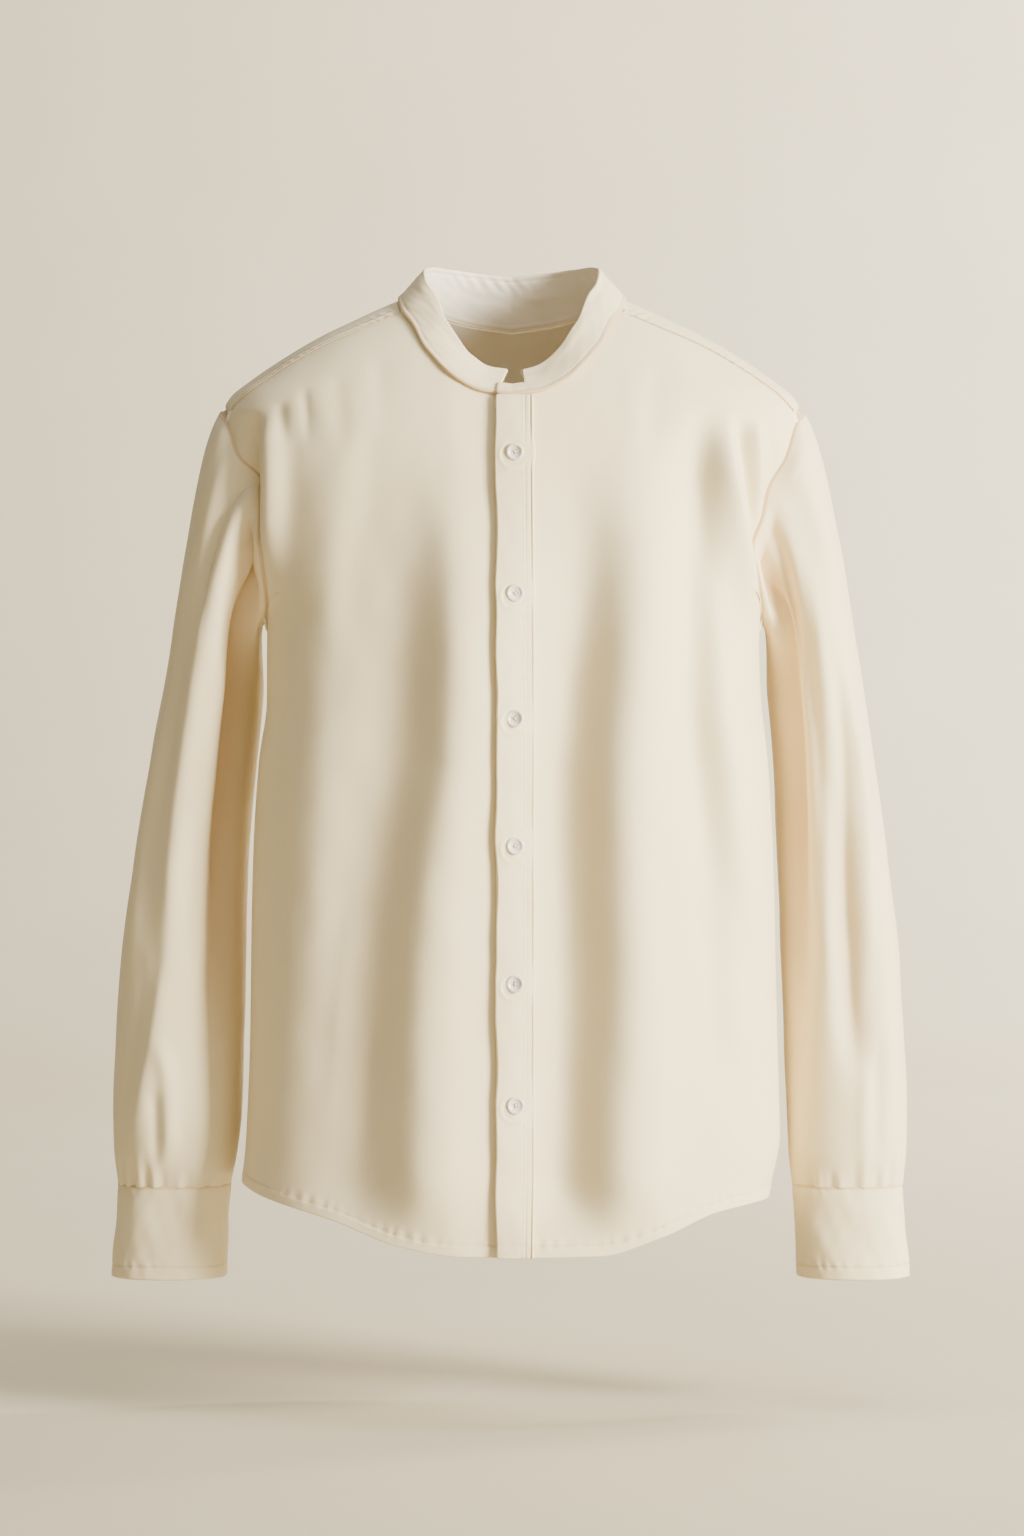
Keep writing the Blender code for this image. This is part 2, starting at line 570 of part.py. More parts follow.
def band_surface(turns, under, share):
    """Points at a share of the band's height over the neckline."""
    wrapped = (turns + math.pi) % (2 * math.pi) - math.pi
    z = neck_z(wrapped)
    degrees = np.abs(np.degrees(wrapped))
    height = smooth(degrees, NECK["turn"], NECK["band_height"]) * share
    tilt = np.radians(smooth(degrees, NECK["turn"], NECK["band_tilt"]))
    foot = np.where(under[:, None], body_surface(wrapped, z, under=True), body_surface(wrapped, z))
    level = np.stack([np.sin(wrapped), -np.cos(wrapped), 0 * z], -1)
    foot = foot + surface_normal(wrapped, z) * (2 * GAP + DOUBLE_WALL)
    up = np.array([0, 0, 1.0])
    return foot + (height * np.cos(tilt))[:, None] * up - (height * np.sin(tilt))[:, None] * level


# ---- objects --------------------------------------------------------------------------------------------------
def material(name, colour, roughness):
    made = bpy.data.materials.new(name)
    made.use_nodes = True
    shader = made.node_tree.nodes["Principled BSDF"]
    shader.inputs["Base Color"].default_value = (*colour, 1)
    shader.inputs["Roughness"].default_value = roughness
    return made


def sheet(name, grids, wall, flip=False, closed=False):
    """An object for cloth whose outside runs through grids of points, joined where they share points."""
    mesh = bmesh.new()
    for points in grids:
        rows, columns = points.shape[:2]
        made = [[mesh.verts.new(Vector(p)) for p in row] for row in points]
        for i in range(rows - 1):
            for j in range(columns if closed else columns - 1):
                k = (j + 1) % columns
                corners = [made[i][j], made[i][k], made[i + 1][k], made[i + 1][j]]
                mesh.faces.new(corners[::-1] if flip else corners)
    bmesh.ops.remove_doubles(mesh, verts=mesh.verts, dist=1e-6)
    data = bpy.data.meshes.new(name)
    mesh.to_mesh(data)
    mesh.free()
    data.shade_smooth()
    data.materials.append(material("cloth_" + name, CLOTH_COLOUR, CLOTH_ROUGHNESS))
    made = bpy.data.objects.new(name, data)
    shirt.objects.link(made)
    solid = made.modifiers.new("wall", "SOLIDIFY")
    solid.thickness, solid.offset = wall, -1
    solid.use_even_offset = True
    return made


def button(name, radius, at, out):
    """A turned button with a raised rim and a dished middle, its back on the cloth."""
    outline = [(share * radius, 0, height) for share, height in zip(*BUTTON_PROFILE.values())]
    data = bpy.data.meshes.new(name)
    data.from_pydata(outline, [(i, i + 1) for i in range(len(outline) - 1)], [])
    data.materials.append(material("shell_" + name, BUTTON_COLOUR, BUTTON_ROUGHNESS))
    made = bpy.data.objects.new(name, data)
    shirt.objects.link(made)
    turned = made.modifiers.new("turned", "SCREW")
    turned.steps = turned.render_steps = BUTTON_SIDES
    turned.use_merge_vertices, turned.merge_threshold = True, 1e-5
    turned.use_smooth_shade = True
    made.location = Vector(at) + Vector(out) * BUTTON_SEAT
    made.rotation_mode = "QUATERNION"
    made.rotation_quaternion = Vector(out).to_track_quat("Z", "Y")
    return made


def panel(name, grids, wall=WALL, under=False, flip=False):
    return sheet(name, [body_surface(g[..., 0], g[..., 1], under) for g in grids], wall, flip)


def moved_out(points, out, distance):
    return points + out * distance


def build_body():
    strip, rest = front_grids(1)
    panel("front_left", [strip, rest])
    under_strip, under_rest = front_grids(-1)
    panel("front_right", [under_strip, under_rest], under=True, flip=True)
    panel("back", [back_grid()])
    panel("yoke", [yoke_grid()], flip=True)
    lying = body_surface(strip[..., 0], strip[..., 1])
    last = lying[-2] - lying[-1]
    lying[-1] += last / np.linalg.norm(last, axis=-1, keepdims=True) * BAND_FOOT
    on_panel = moved_out(lying, normals(lying), GAP + DOUBLE_WALL)
    sheet("placket", [on_panel], DOUBLE_WALL)
    return on_panel


def build_buttons(placket):
    heights = placket[:, 1, 2]
    out = normals(placket)[:, 1]
    for number, z in enumerate(BUTTON_HEIGHTS, 1):
        at = [np.interp(z, heights, placket[:, 1, axis]) for axis in range(3)]
        facing = [np.interp(z, heights, out[:, axis]) for axis in range(3)]
        button(f"button_{number}", BUTTON_RADIUS, at, Vector(facing).normalized())


def build_collar():
    turns, under = band_points()
    tab_share = TAB_HEIGHT / NECK["band_height"][0]
    rows = [band_surface(turns, under, share) for share in (0, tab_share, 1)]
    for row, share in zip(rows, (0, tab_share, 1)):
        row[0, 0] += COLLAR_END_LEAN * share
    tab_turns = np.concatenate([turns[-1:], [turn_at(x, NECK["z"][0]) for x in (BUTTON_LINE, PLACKET_LEFT)]])
    over = np.zeros(len(tab_turns), bool)
    tab = [band_surface(tab_turns, over, share) for share in (0, tab_share)]
    sheet("collar_band", [np.array(rows), np.array(tab)], DOUBLE_WALL, flip=True)


def build_arm(side):
    name = "left" if side > 0 else "right"
    points = sleeve_points(side)
    sheet("sleeve_" + name, [points], WALL, flip=side < 0, closed=True)
    out = outward(points, side)
    at_back = len(points[0]) * 3 // 4
    rows, columns = slice(-STRIP_RINGS, None), slice(at_back, at_back + 3)
    strip = moved_out(points, out, STRIP_CLEAR + DOUBLE_WALL)[rows, columns]
    strip[-1, :, 2] += 2 * GAP
    sheet("sleeve_placket_" + name, [strip], DOUBLE_WALL, flip=side < 0)
    cuff = cuff_points(side)
    sheet("cuff_" + name, [cuff], DOUBLE_WALL, flip=side > 0)
    middle = cuff[1, -2]
    beside = cuff[1, -1] - cuff[1, -3]
    facing = Vector(beside).cross(Vector((0, 0, 1))).normalized() * side
    button("cuff_button_" + name, CUFF_BUTTON_RADIUS, middle, facing)


for old in list(bpy.data.objects):
    bpy.data.objects.remove(old)
shirt = bpy.data.collections.new("mandarin_collar_shirt")
bpy.context.scene.collection.children.link(shirt)
build_buttons(build_body())
build_collar()
build_arm(1)
build_arm(-1)
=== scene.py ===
# Mandarin collar shirt: finished cloth, stitching, buttons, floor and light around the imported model.
# Metres, +Z up, +X to the wearer's left, the front faces -Y.
# A turn is an angle round the body from the middle of the front.
import math

import bpy
import numpy as np
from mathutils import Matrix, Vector


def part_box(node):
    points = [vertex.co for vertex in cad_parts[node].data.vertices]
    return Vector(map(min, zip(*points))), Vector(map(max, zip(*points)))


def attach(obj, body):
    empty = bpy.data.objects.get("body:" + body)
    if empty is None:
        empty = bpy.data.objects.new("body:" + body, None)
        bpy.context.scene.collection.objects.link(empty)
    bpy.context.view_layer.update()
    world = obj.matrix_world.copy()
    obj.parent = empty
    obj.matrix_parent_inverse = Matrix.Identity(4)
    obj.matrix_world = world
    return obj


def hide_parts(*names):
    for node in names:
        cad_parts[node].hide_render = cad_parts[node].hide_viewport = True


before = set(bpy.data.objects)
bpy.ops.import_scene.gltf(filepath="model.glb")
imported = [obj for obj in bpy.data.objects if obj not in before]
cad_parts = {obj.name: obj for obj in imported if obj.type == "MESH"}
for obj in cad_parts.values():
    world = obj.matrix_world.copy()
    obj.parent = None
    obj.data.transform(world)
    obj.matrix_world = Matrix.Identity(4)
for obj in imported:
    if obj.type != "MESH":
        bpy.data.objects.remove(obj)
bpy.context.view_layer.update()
print("frame loaded:", len(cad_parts), "nodes")


def table(columns, *rows):
    return dict(zip(columns.split(), np.array(rows, float).T))


# Curves
def smooth(at, xs, ys):  # a cubic through the points that never overshoots them
    if xs[0] > xs[-1]:
        xs, ys = xs[::-1], ys[::-1]
    at = np.clip(at, xs[0], xs[-1])
    step, slope = np.diff(xs), np.diff(ys) / np.diff(xs)
    bend, total = slope[:-1] * slope[1:], slope[:-1] + slope[1:]
    inner = np.where(bend > 0, 2 * bend / np.where(total == 0, 1, total), 0)
    tangent = np.concatenate([slope[:1], inner, slope[-1:]])
    k = np.clip(np.searchsorted(xs, at, side="right") - 1, 0, len(step) - 1)
    t, h = (at - xs[k]) / step[k], step[k]
    return (
        (2 * t**3 - 3 * t**2 + 1) * ys[k]
        + (t**3 - 2 * t**2 + t) * h * tangent[k]
        + (3 * t**2 - 2 * t**3) * ys[k + 1]
        + (t**3 - t**2) * h * tangent[k + 1]
    )


def read(rows, at, column):  # a table's column at a value of its first column
    return smooth(at, next(iter(rows.values())), rows[column])


def ramp(value, start, end):
    t = np.clip((value - start) / (end - start), 0, 1)
    return t * t * (3 - 2 * t)


def power(value, exponent):
    return np.sign(value) * np.abs(value) ** exponent


def bell(value, half):
    return np.exp(-((value / half) ** 2))


def spaced(count, *fine):  # shares from 0 to 1, closer together round each (place, spread, strength)
    even = np.linspace(0, 1, 2001)
    weight = 1 + sum(strength * bell(even - place, spread) for place, spread, strength in fine)
    total = np.concatenate([[0], np.cumsum((weight[1:] + weight[:-1]) / 2)])
    return np.interp(np.linspace(0, total[-1], count), total, even)


# The body's form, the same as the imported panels'
form = {
    "roundness": 2.3,
    "sleeveRoundness": 2.2,
    "wall": 0.0015,
    "doubleWall": 0.0020,
    "gap": 0.0003,
    "underlap": 0.0026,
    "underlapFrom": -0.050,
    "underlapTo": -0.016,
    "placketLeft": -0.0113,
    "buttonLine": 0.0023,
    "placketRight": 0.0158,
    "yokeBack": -0.090,
    "neckSeamTurn": 72.0,
    "yokeStation": 0.15,
    "underarm": -0.245,
    "foldFade": 0.070,
    "sideSeamCalm": 0.025,
    "backDrop": 0.020,
    "backDropReach": 0.205,
    "hemEnd": 0.206,
    "seamRadius": 0.2265,
    "neckFrontNear": -0.070,
    "unevenness": 0.0004,
}
sections = table(
    "z left right front back centre",
    (0.012, 0.076, 0.076, 0.018, 0.046, 0.000),
    (0.008, 0.0865, 0.0865, 0.025, 0.054, 0.000),
    (0.000, 0.105, 0.105, 0.034, 0.062, 0.000),
    (-0.008, 0.122, 0.122, 0.042, 0.069, 0.000),
    (-0.020, 0.147, 0.147, 0.052, 0.076, 0.000),
    (-0.035, 0.173, 0.173, 0.064, 0.083, 0.000),
    (-0.056, 0.204, 0.204, 0.077, 0.090, 0.000),
    (-0.070, 0.2205, 0.2205, 0.084, 0.094, 0.000),
    (-0.084, 0.2265, 0.2265, 0.090, 0.098, 0.000),
    (-0.117, 0.2240, 0.2240, 0.099, 0.105, -0.001),
    (-0.150, 0.2140, 0.2140, 0.103, 0.111, -0.003),
    (-0.185, 0.2040, 0.2040, 0.106, 0.116, -0.006),
    (-0.215, 0.1960, 0.1960, 0.107, 0.119, -0.009),
    (-0.245, 0.1910, 0.1900, 0.107, 0.121, -0.012),
    (-0.304, 0.1930, 0.1900, 0.106, 0.122, -0.016),
    (-0.351, 0.1980, 0.1960, 0.105, 0.121, -0.018),
    (-0.421, 0.2020, 0.2005, 0.104, 0.118, -0.019),
    (-0.480, 0.2035, 0.2020, 0.105, 0.117, -0.019),
    (-0.562, 0.2055, 0.2030, 0.107, 0.117, -0.019),
    (-0.640, 0.2075, 0.2060, 0.111, 0.120, -0.019),
    (-0.690, 0.1985, 0.2100, 0.113, 0.123, -0.019),
    (-0.760, 0.1940, 0.2120, 0.116, 0.127, -0.019),
)
neckline = table(
    "turn z height tilt",
    (0, -0.0735, 0.0290, 50),
    (14, -0.0705, 0.0290, 50),
    (27, -0.0618, 0.0292, 49),
    (45, -0.0385, 0.0296, 47),
    (65, -0.0110, 0.0292, 44),
    (90, 0.0080, 0.0285, 41),
    (110, 0.0066, 0.0325, 34),
    (130, 0.0010, 0.0370, 26),
    (152, -0.0062, 0.0410, 17),
    (180, -0.0110, 0.0430, 12),
)
shoulderSeam = table(
    "along turn z",
    (0.0, 72.0, -0.0045),
    (0.2, 74.0, -0.0155),
    (0.45, 77.5, -0.0325),
    (0.68, 79.0, -0.0510),
    (0.83, 80.0, -0.0660),
    (1.0, 83.0, -0.0880),
)
armholeLine = table(
    "station front back z",
    (0.00, 90.0, 90.0, -0.0795),
    (0.15, 83.0, 97.5, -0.0890),
    (0.32, 79.0, 101.0, -0.1170),
    (0.50, 75.5, 104.0, -0.1500),
    (0.68, 75.0, 104.5, -0.1850),
    (0.84, 77.5, 102.0, -0.2150),
    (0.95, 83.0, 97.0, -0.2370),
    (1.00, 90.0, 90.0, -0.2450),
)
hemLine = table(
    "x z",
    (-0.212, -0.6745),
    (-0.190, -0.6830),
    (-0.137, -0.6975),
    (-0.084, -0.7155),
    (-0.040, -0.7222),
    (0.000, -0.7230),
    (0.066, -0.7222),
    (0.111, -0.7095),
    (0.157, -0.6920),
    (0.206, -0.6860),
)
bodyFolds = table(
    "front xTop xMid xLow zTop zLow half rise",
    (1, -0.180, -0.182, -0.184, -0.080, -0.235, 0.010, 0.0050),
    (1, -0.202, -0.200, -0.198, -0.095, -0.215, 0.009, -0.0060),
    (1, 0.160, 0.176, 0.186, -0.090, -0.270, 0.010, 0.0045),
    (0, -0.060, -0.072, -0.090, -0.110, -0.640, 0.020, -0.0055),
    (0, 0.066, 0.058, 0.080, -0.110, -0.600, 0.020, -0.0050),
    (0, 0.004, 0.010, 0.004, -0.300, -0.730, 0.018, 0.0040),
    (0, -0.142, -0.134, -0.146, -0.180, -0.660, 0.018, 0.0040),
    (0, 0.140, 0.128, 0.140, -0.160, -0.640, 0.018, 0.0040),
)

# Creases placed one by one: half-width and rise in mm, lean (wider towards +X), share of its length over
# which
# each end fades, and the (x, z) points of its line in mm, from the top down
frontCreases = [
    (7, 4.5, 0.45, 0.16, 0.40, (-186, -82), (-187, -110), (-187, -150), (-185, -200), (-184, -250)),
    (6.5, -10.0, -0.25, 0.22, 0.30, (-197, -80), (-200, -110), (-203, -150), (-201, -195), (-197, -232)),
    (9, 2.2, 0.2, 0.3, 0.3, (-212, -104), (-215, -130), (-209, -160)),
    (5, -1.6, 0.0, 0.25, 0.6, (-178, -74), (-176, -92), (-173, -116)),
    (5, -1.4, 0.0, 0.25, 0.6, (-160, -62), (-157, -85), (-153, -118)),
    (7, -1.0, 0.0, 0.25, 0.6, (-134, -50), (-132, -80), (-127, -125)),
    (8, -0.9, 0.2, 0.25, 0.6, (-104, -36), (-101, -70), (-97, -120)),
    (9, 0.8, 0.0, 0.3, 0.5, (-120, -60), (-118, -120), (-122, -210)),
    (8, 4.0, -0.35, 0.14, 0.35, (163, -84), (165, -125), (169, -160), (177, -200), (184, -250), (187, -300)),
    (6, -8.5, 0.0, 0.20, 0.40, (174, -84), (177, -118), (182, -160), (189, -205), (192, -235)),
    (4.5, 3.6, -0.2, 0.14, 0.45, (187, -86), (189, -120), (188, -150), (184, -185), (181, -215)),
    (6, -2.6, 0.1, 0.25, 0.45, (198, -92), (200, -125), (196, -160), (190, -190)),
    (12, -6.5, 0.1, 0.20, 0.50, (146, -70), (147, -110), (151, -170), (160, -240), (168, -330)),
    (8, -1.0, 0.0, 0.25, 0.6, (112, -40), (110, -75), (106, -130)),
    (8, 0.9, 0.0, 0.25, 0.6, (88, -46), (92, -90), (97, -150)),
    (16, 1.5, 0.0, 0.3, 0.3, (-150, -260), (-148, -400), (-152, -560)),
    (12, -1.6, -0.3, 0.3, 0.3, (-176, -280), (-181, -400), (-186, -560), (-188, -640)),
    (10, 1.2, 0.0, 0.3, 0.3, (160, -380), (166, -480), (178, -600)),
    (13, -1.8, 0.0, 0.3, 0.4, (142, -430), (150, -520), (158, -640)),
    (11, 1.0, 0.3, 0.3, 0.4, (-118, -430), (-132, -540), (-142, -660)),
    (9, -0.9, 0.0, 0.3, 0.4, (-96, -520), (-112, -600), (-120, -690)),
    (12, 1.1, 0.0, 0.4, 0.3, (70, -520), (64, -600), (60, -700)),
    (10, -0.9, 0.0, 0.4, 0.4, (96, -560), (92, -630), (90, -690)),
]
# Broad folds: rise and steepness in mm, growth downwards, how far in mm each side eases out, the fades at
# both ends, and the (x, z) points of its line in mm
frontSteps = [
    (16.5, 25, 0.6, 56, 46, 0.32, 0.10, (-60, -84), (-60, -154), (-60, -245), (-61, -305), (-65, -366),
     (-78, -427), (-83, -487), (-87, -548), (-88, -600), (-88, -726)),
    (25.0, 24, 0.6, 44, 48, 0.32, 0.10, (66, -84), (72, -154), (75, -200), (73, -245), (67, -305), (63, -366),
     (63, -427), (66, -487), (66, -548), (64, -600), (62, -726)),
    (13.5, 12, 0.3, 24, 22, 0.12, 0.45, (146, -84), (149, -154), (148, -245), (147, -305), (154, -366),
     (162, -427), (173, -487), (178, -548)),
    (-2.0, 10, 0.0, 24, 30, 0.25, 0.40, (-120, -90), (-124, -154), (-132, -240), (-136, -320)),
]
backSteps = [
    (9.0, 17, 0.6, 60, 46, 0.16, 0.12, (-64, -92), (-66, -180), (-74, -300), (-82, -430), (-86, -560),
     (-88, -740)),
    (-9.5, 17, 0.6, 46, 60, 0.16, 0.12, (58, -92), (62, -180), (66, -300), (60, -430), (66, -560),
     (72, -740)),
    (-4.5, 12, 0.3, 30, 28, 0.25, 0.40, (146, -110), (150, -220), (152, -340), (160, -460)),
    (4.0, 12, 0.3, 30, 28, 0.25, 0.40, (-144, -120), (-150, -230), (-152, -360), (-158, -480)),
]
backCreases = [
    (8, 4.0, 0.3, 0.16, 0.4, (-184, -96), (-186, -140), (-186, -200), (-184, -260)),
    (7, -7.0, 0.0, 0.22, 0.3, (-200, -96), (-203, -140), (-200, -190), (-196, -232)),
    (8, 4.0, -0.3, 0.16, 0.4, (182, -98), (184, -150), (185, -210), (184, -270)),
    (7, -6.0, 0.0, 0.22, 0.3, (198, -98), (202, -140), (199, -190), (195, -232)),
    (7, -1.2, 0.0, 0.25, 0.6, (-150, -92), (-147, -130), (-141, -190)),
    (8, -1.0, 0.0, 0.25, 0.6, (-108, -92), (-106, -140), (-100, -210)),
    (7, -1.2, 0.0, 0.25, 0.6, (148, -92), (146, -130), (140, -180)),
    (9, -1.0, 0.0, 0.25, 0.6, (102, -92), (101, -140), (96, -220)),
    (10, 1.4, 0.0, 0.3, 0.5, (-30, -95), (-34, -200), (-40, -360)),
    (12, -1.8, 0.2, 0.3, 0.4, (28, -140), (34, -280), (40, -430)),
    (15, 1.6, 0.0, 0.3, 0.3, (104, -260), (108, -400), (112, -560)),
    (13, -1.8, 0.0, 0.3, 0.3, (168, -300), (172, -430), (180, -600)),
    (14, -1.8, 0.0, 0.3, 0.3, (-170, -280), (-174, -430), (-180, -580)),
    (12, 1.3, 0.0, 0.4, 0.3, (-46, -500), (-50, -600), (-56, -710)),
    (11, -1.2, 0.0, 0.4, 0.4, (44, -520), (50, -620), (58, -700)),
]


def densified(points, count=13):  # a smooth line through a crease's points
    points = np.array(points, float) / 1000
    along = np.concatenate([[0], np.cumsum(np.linalg.norm(np.diff(points, axis=0), axis=1))])
    at = np.linspace(0, along[-1], count)
    return np.stack([smooth(at, along, points[:, axis]) for axis in (0, 1)], -1)


def beside(u, v, points, spread):  # for points within the spread: signed distance from a line, share along it
    line = densified(points)
    where = np.stack([u.ravel(), v.ravel()], -1)
    near = ((where > line.min(0) - spread) & (where < line.max(0) + spread)).all(1)
    p = where[near][:, None]
    start, step = line[:-1], np.diff(line, axis=0)
    share = np.clip(((p - start) * step).sum(-1) / (step**2).sum(-1), 0, 1)
    off = p - start - share[..., None] * step
    apart = np.linalg.norm(off, axis=-1)
    nearest, rows = apart.argmin(1), np.arange(len(p))
    side = np.sign(step[nearest, 0] * off[rows, nearest, 1] - step[nearest, 1] * off[rows, nearest, 0])
    return near, side * apart[rows, nearest], (nearest + share[rows, nearest]) / len(step)


def endFade(along, top, low):
    return ramp(along, 0, top) * (1 - ramp(along, 1 - low, 1))


def creaseLift(u, v, creases):
    total = np.zeros(u.size)
    for half, rise, lean, fadeTop, fadeLow, *points in creases:
        near, apart, along = beside(u, v, points, 3 * half / 1000)
        lift = bell(apart, half / 1000 * (1 + lean * np.sign(apart)))
        total[near] += rise / 1000 * endFade(along, fadeTop, fadeLow) * lift
    return total.reshape(u.shape)


def stepLift(u, v, steps):  # broad folds: the cloth rises steeply towards +X and eases back on both sides
    total = np.zeros(u.size)
    for rise, steep, grow, leftReach, rightReach, fadeTop, fadeLow, *points in steps:
        near, apart, along = beside(u, v, points, 3.5 * max(leftReach, rightReach) / 1000)
        fade = endFade(along, fadeTop, fadeLow) * (1 + 0.6 * grow * along)
        ease = bell(apart, np.where(apart > 0, rightReach, leftReach) / 1000)
        total[near] += rise / 1000 * fade * np.tanh(apart / steep * 1000 / (1 + grow * along)) * ease
    return total.reshape(u.shape)


def heightFade(z, zTop, zLow):  # a fold's share at each height, easing in and out at its ends
    return ramp(z, zLow, zLow + form["foldFade"]) * (1 - ramp(z, zTop - form["foldFade"], zTop))


def unevenness(u, v, size):  # slow shallow waves, so that pressed cloth doesn't look moulded
    first = np.sin(61 * u + 23 * v + 1.3) * np.sin(17 * u - 41 * v + 0.4)
    second = np.sin(118 * u + 31 * v + 4.1) * np.sin(53 * v + 29 * u + 2.2)
    third = np.sin(207 * u - 47 * v + 0.9) * np.sin(89 * v + 3.0)
    return size * (0.6 * first + 0.3 * second + 0.2 * third)


def bodySize(z, turn):
    left, right, front, back, centre = (
        read(sections, z, name) for name in ("left", "right", "front", "back", "centre")
    )
    return np.where(np.sin(turn) > 0, left, right), np.where(np.cos(turn) > 0, front, back), centre


def bodyForm(turn, z):
    width, depth, centre = bodySize(z, turn)
    across, along = np.sin(turn), np.cos(turn)
    r = form["roundness"]
    reach = (np.abs(across / width) ** r + np.abs(along / depth) ** r) ** (-1 / r)
    return np.stack([reach * across, centre - reach * along, z + 0 * reach], -1)


def bodyOut(turn, z):
    width, depth, centre = bodySize(z, turn)
    point = bodyForm(turn, z)
    outX = power(point[..., 0] / width, form["roundness"] - 1) / width
    outY = power((point[..., 1] - centre) / depth, form["roundness"] - 1) / depth
    length = np.hypot(outX, outY)
    return np.stack([outX / length, outY / length, 0 * length], -1)


def foldRise(point, onFront):
    x, z = point[..., 0], point[..., 2]
    centre = read(sections, z, "centre")
    calm = ramp(np.abs(point[..., 1] - centre), 0, form["sideSeamCalm"])
    total = 0 * x
    for front, xTop, xMid, xLow, zTop, zLow, half, rise in zip(*bodyFolds.values()):
        t = np.clip((zTop - z) / (zTop - zLow), 0, 1)
        middle = xTop * (1 - t) * (1 - 2 * t) + 4 * xMid * t * (1 - t) + xLow * t * (2 * t - 1)
        lift = rise * bell(x - middle, half) * heightFade(z, zTop, zLow)
        total = total + np.where(onFront == (front == 1), lift, 0)
    front = creaseLift(x, z, frontCreases) + stepLift(x, z, frontSteps)
    back = creaseLift(x, z, backCreases) + stepLift(x, z, backSteps)
    total = total + np.where(onFront, front, back) + unevenness(x + 0.3 * onFront, z, form["unevenness"])
    return total * calm


def bodySurface(turn, z, under=False):
    turn, z = np.broadcast_arrays(np.asarray(turn, float), np.asarray(z, float))
    point = bodyForm(turn, z)
    rise = foldRise(point, np.cos(turn) > 0)
    if under:
        rise = rise - form["underlap"] * ramp(point[..., 0], form["underlapFrom"], form["underlapTo"])
    return point + rise[..., None] * bodyOut(turn, z)


def surfaceNormal(turn, z, step=3e-4):
    turned = bodySurface(turn + step, z) - bodySurface(turn - step, z)
    risen = bodySurface(turn, z + step) - bodySurface(turn, z - step)
    out = np.cross(turned, risen)
    return out / np.linalg.norm(out, axis=-1, keepdims=True)


def turnAt(x, z):  # the front's turn that lies at x
    left, right, front = (read(sections, z, name) for name in ("left", "right", "front"))
    inside = np.clip(1 - np.abs(x / np.where(x > 0, left, right)) ** form["roundness"], 0, 1)
    return np.arctan2(x, front * inside ** (1 / form["roundness"]))


def heightOver(x, y, lowest=-0.25, highest=0.012, steps=32):  # the shoulders' height over a place, by halving
    low, high = np.full(np.shape(x), lowest), np.full(np.shape(x), highest)
    for _ in range(steps):
        z = (low + high) / 2
        turn = np.arctan2(x, read(sections, z, "centre") - y)
        width, depth, centre = bodySize(z, turn)
        r = form["roundness"]
        outside = np.abs(x / width) ** r + np.abs((y - centre) / depth) ** r > 1
        low, high = np.where(outside, low, z), np.where(outside, z, high)
    return (low + high) / 2


def neckHeight(turn):
    return read(neckline, np.abs(np.degrees(turn)), "z")


def hemHeight(x, back=False):
    drop = form["backDrop"] * (1 - (x / form["backDropReach"]) ** 2) if back else 0 * x
    return read(hemLine, x, "z") - drop


def armhole(stations, side, back):
    turns = read(armholeLine, stations, "back" if back else "front")
    return np.stack([side * np.radians(turns), read(armholeLine, stations, "z")], -1)


# Grids
def patch(first, last, bottom, top, u, v):
    u, v = u[None, :, None], v[:, None, None]
    sides = (1 - u) * first[:, None] + u * last[:, None]
    ends = (1 - v) * bottom[None] + v * top[None]
    corners = (1 - u) * (1 - v) * bottom[0] + u * (1 - v) * bottom[-1]
    return sides + ends - (corners + (1 - u) * v * top[0] + u * v * top[-1])


def gridNormals(points, closed=False):
    wrapped = np.concatenate([points[:, -1:], points, points[:, :1]], 1) if closed else points
    across = np.gradient(wrapped, axis=1)
    if closed:
        across = across[:, 1:-1]
    normal = np.cross(across, np.gradient(points, axis=0))
    return normal / np.maximum(np.linalg.norm(normal, axis=-1, keepdims=True), 1e-12)


def raisedBy(points, lift):
    return points + lift[..., None] * gridNormals(points)


def reach(points, axis, fromEnd=False):  # distance of every point from one edge, along the grid's lines
    steps = np.linalg.norm(np.diff(points, axis=axis), axis=-1)
    total = np.concatenate([np.zeros_like(steps.take([0], axis)), np.cumsum(steps, axis)], axis)
    return total.take([-1], axis) - total if fromEnd else total


# Rows of stitching: the thread's size, how high it lies, and how it draws the cloth in beside it, in metres
stitching = {
    "pitch": 0.0027,
    "length": 0.0019,
    "thickness": 0.00042,
    "seed": 5,
    "raised": 0.00008,
    "grooveHalf": 0.0010,
    "puckerHalf": 0.0035,
    "puckerPitch": 0.0085,
    "swell": 0.083,
    "wander": ((0.9, 0.047), (0.5, 0.019)),
}
stitchLines = {}


def sewn(points, axis, fromEnd, rows, groove, pucker, phase, pitch=stitching["puckerPitch"]):
    # rows of stitching pull the cloth in and pucker it a little beside them
    away, along = reach(points, axis, fromEnd), reach(points, 1 - axis) * 2 * math.pi
    waves = enumerate(stitching["wander"], 1)
    wander = sum(size * np.sin(along / over + k * phase) for k, (size, over) in waves)
    lift = 0 * away
    for distance in rows:
        wave = np.sin(along / pitch + phase + 300 * distance + wander)
        strength = 0.6 + 0.4 * np.sin(along / stitching["swell"] + 3 * phase + 100 * distance)
        lift -= groove * bell(away - distance, stitching["grooveHalf"])
        beyond = away - distance - stitching["grooveHalf"]
        lift += pucker * strength * wave * bell(beyond, stitching["puckerHalf"])
    return raisedBy(points, lift)


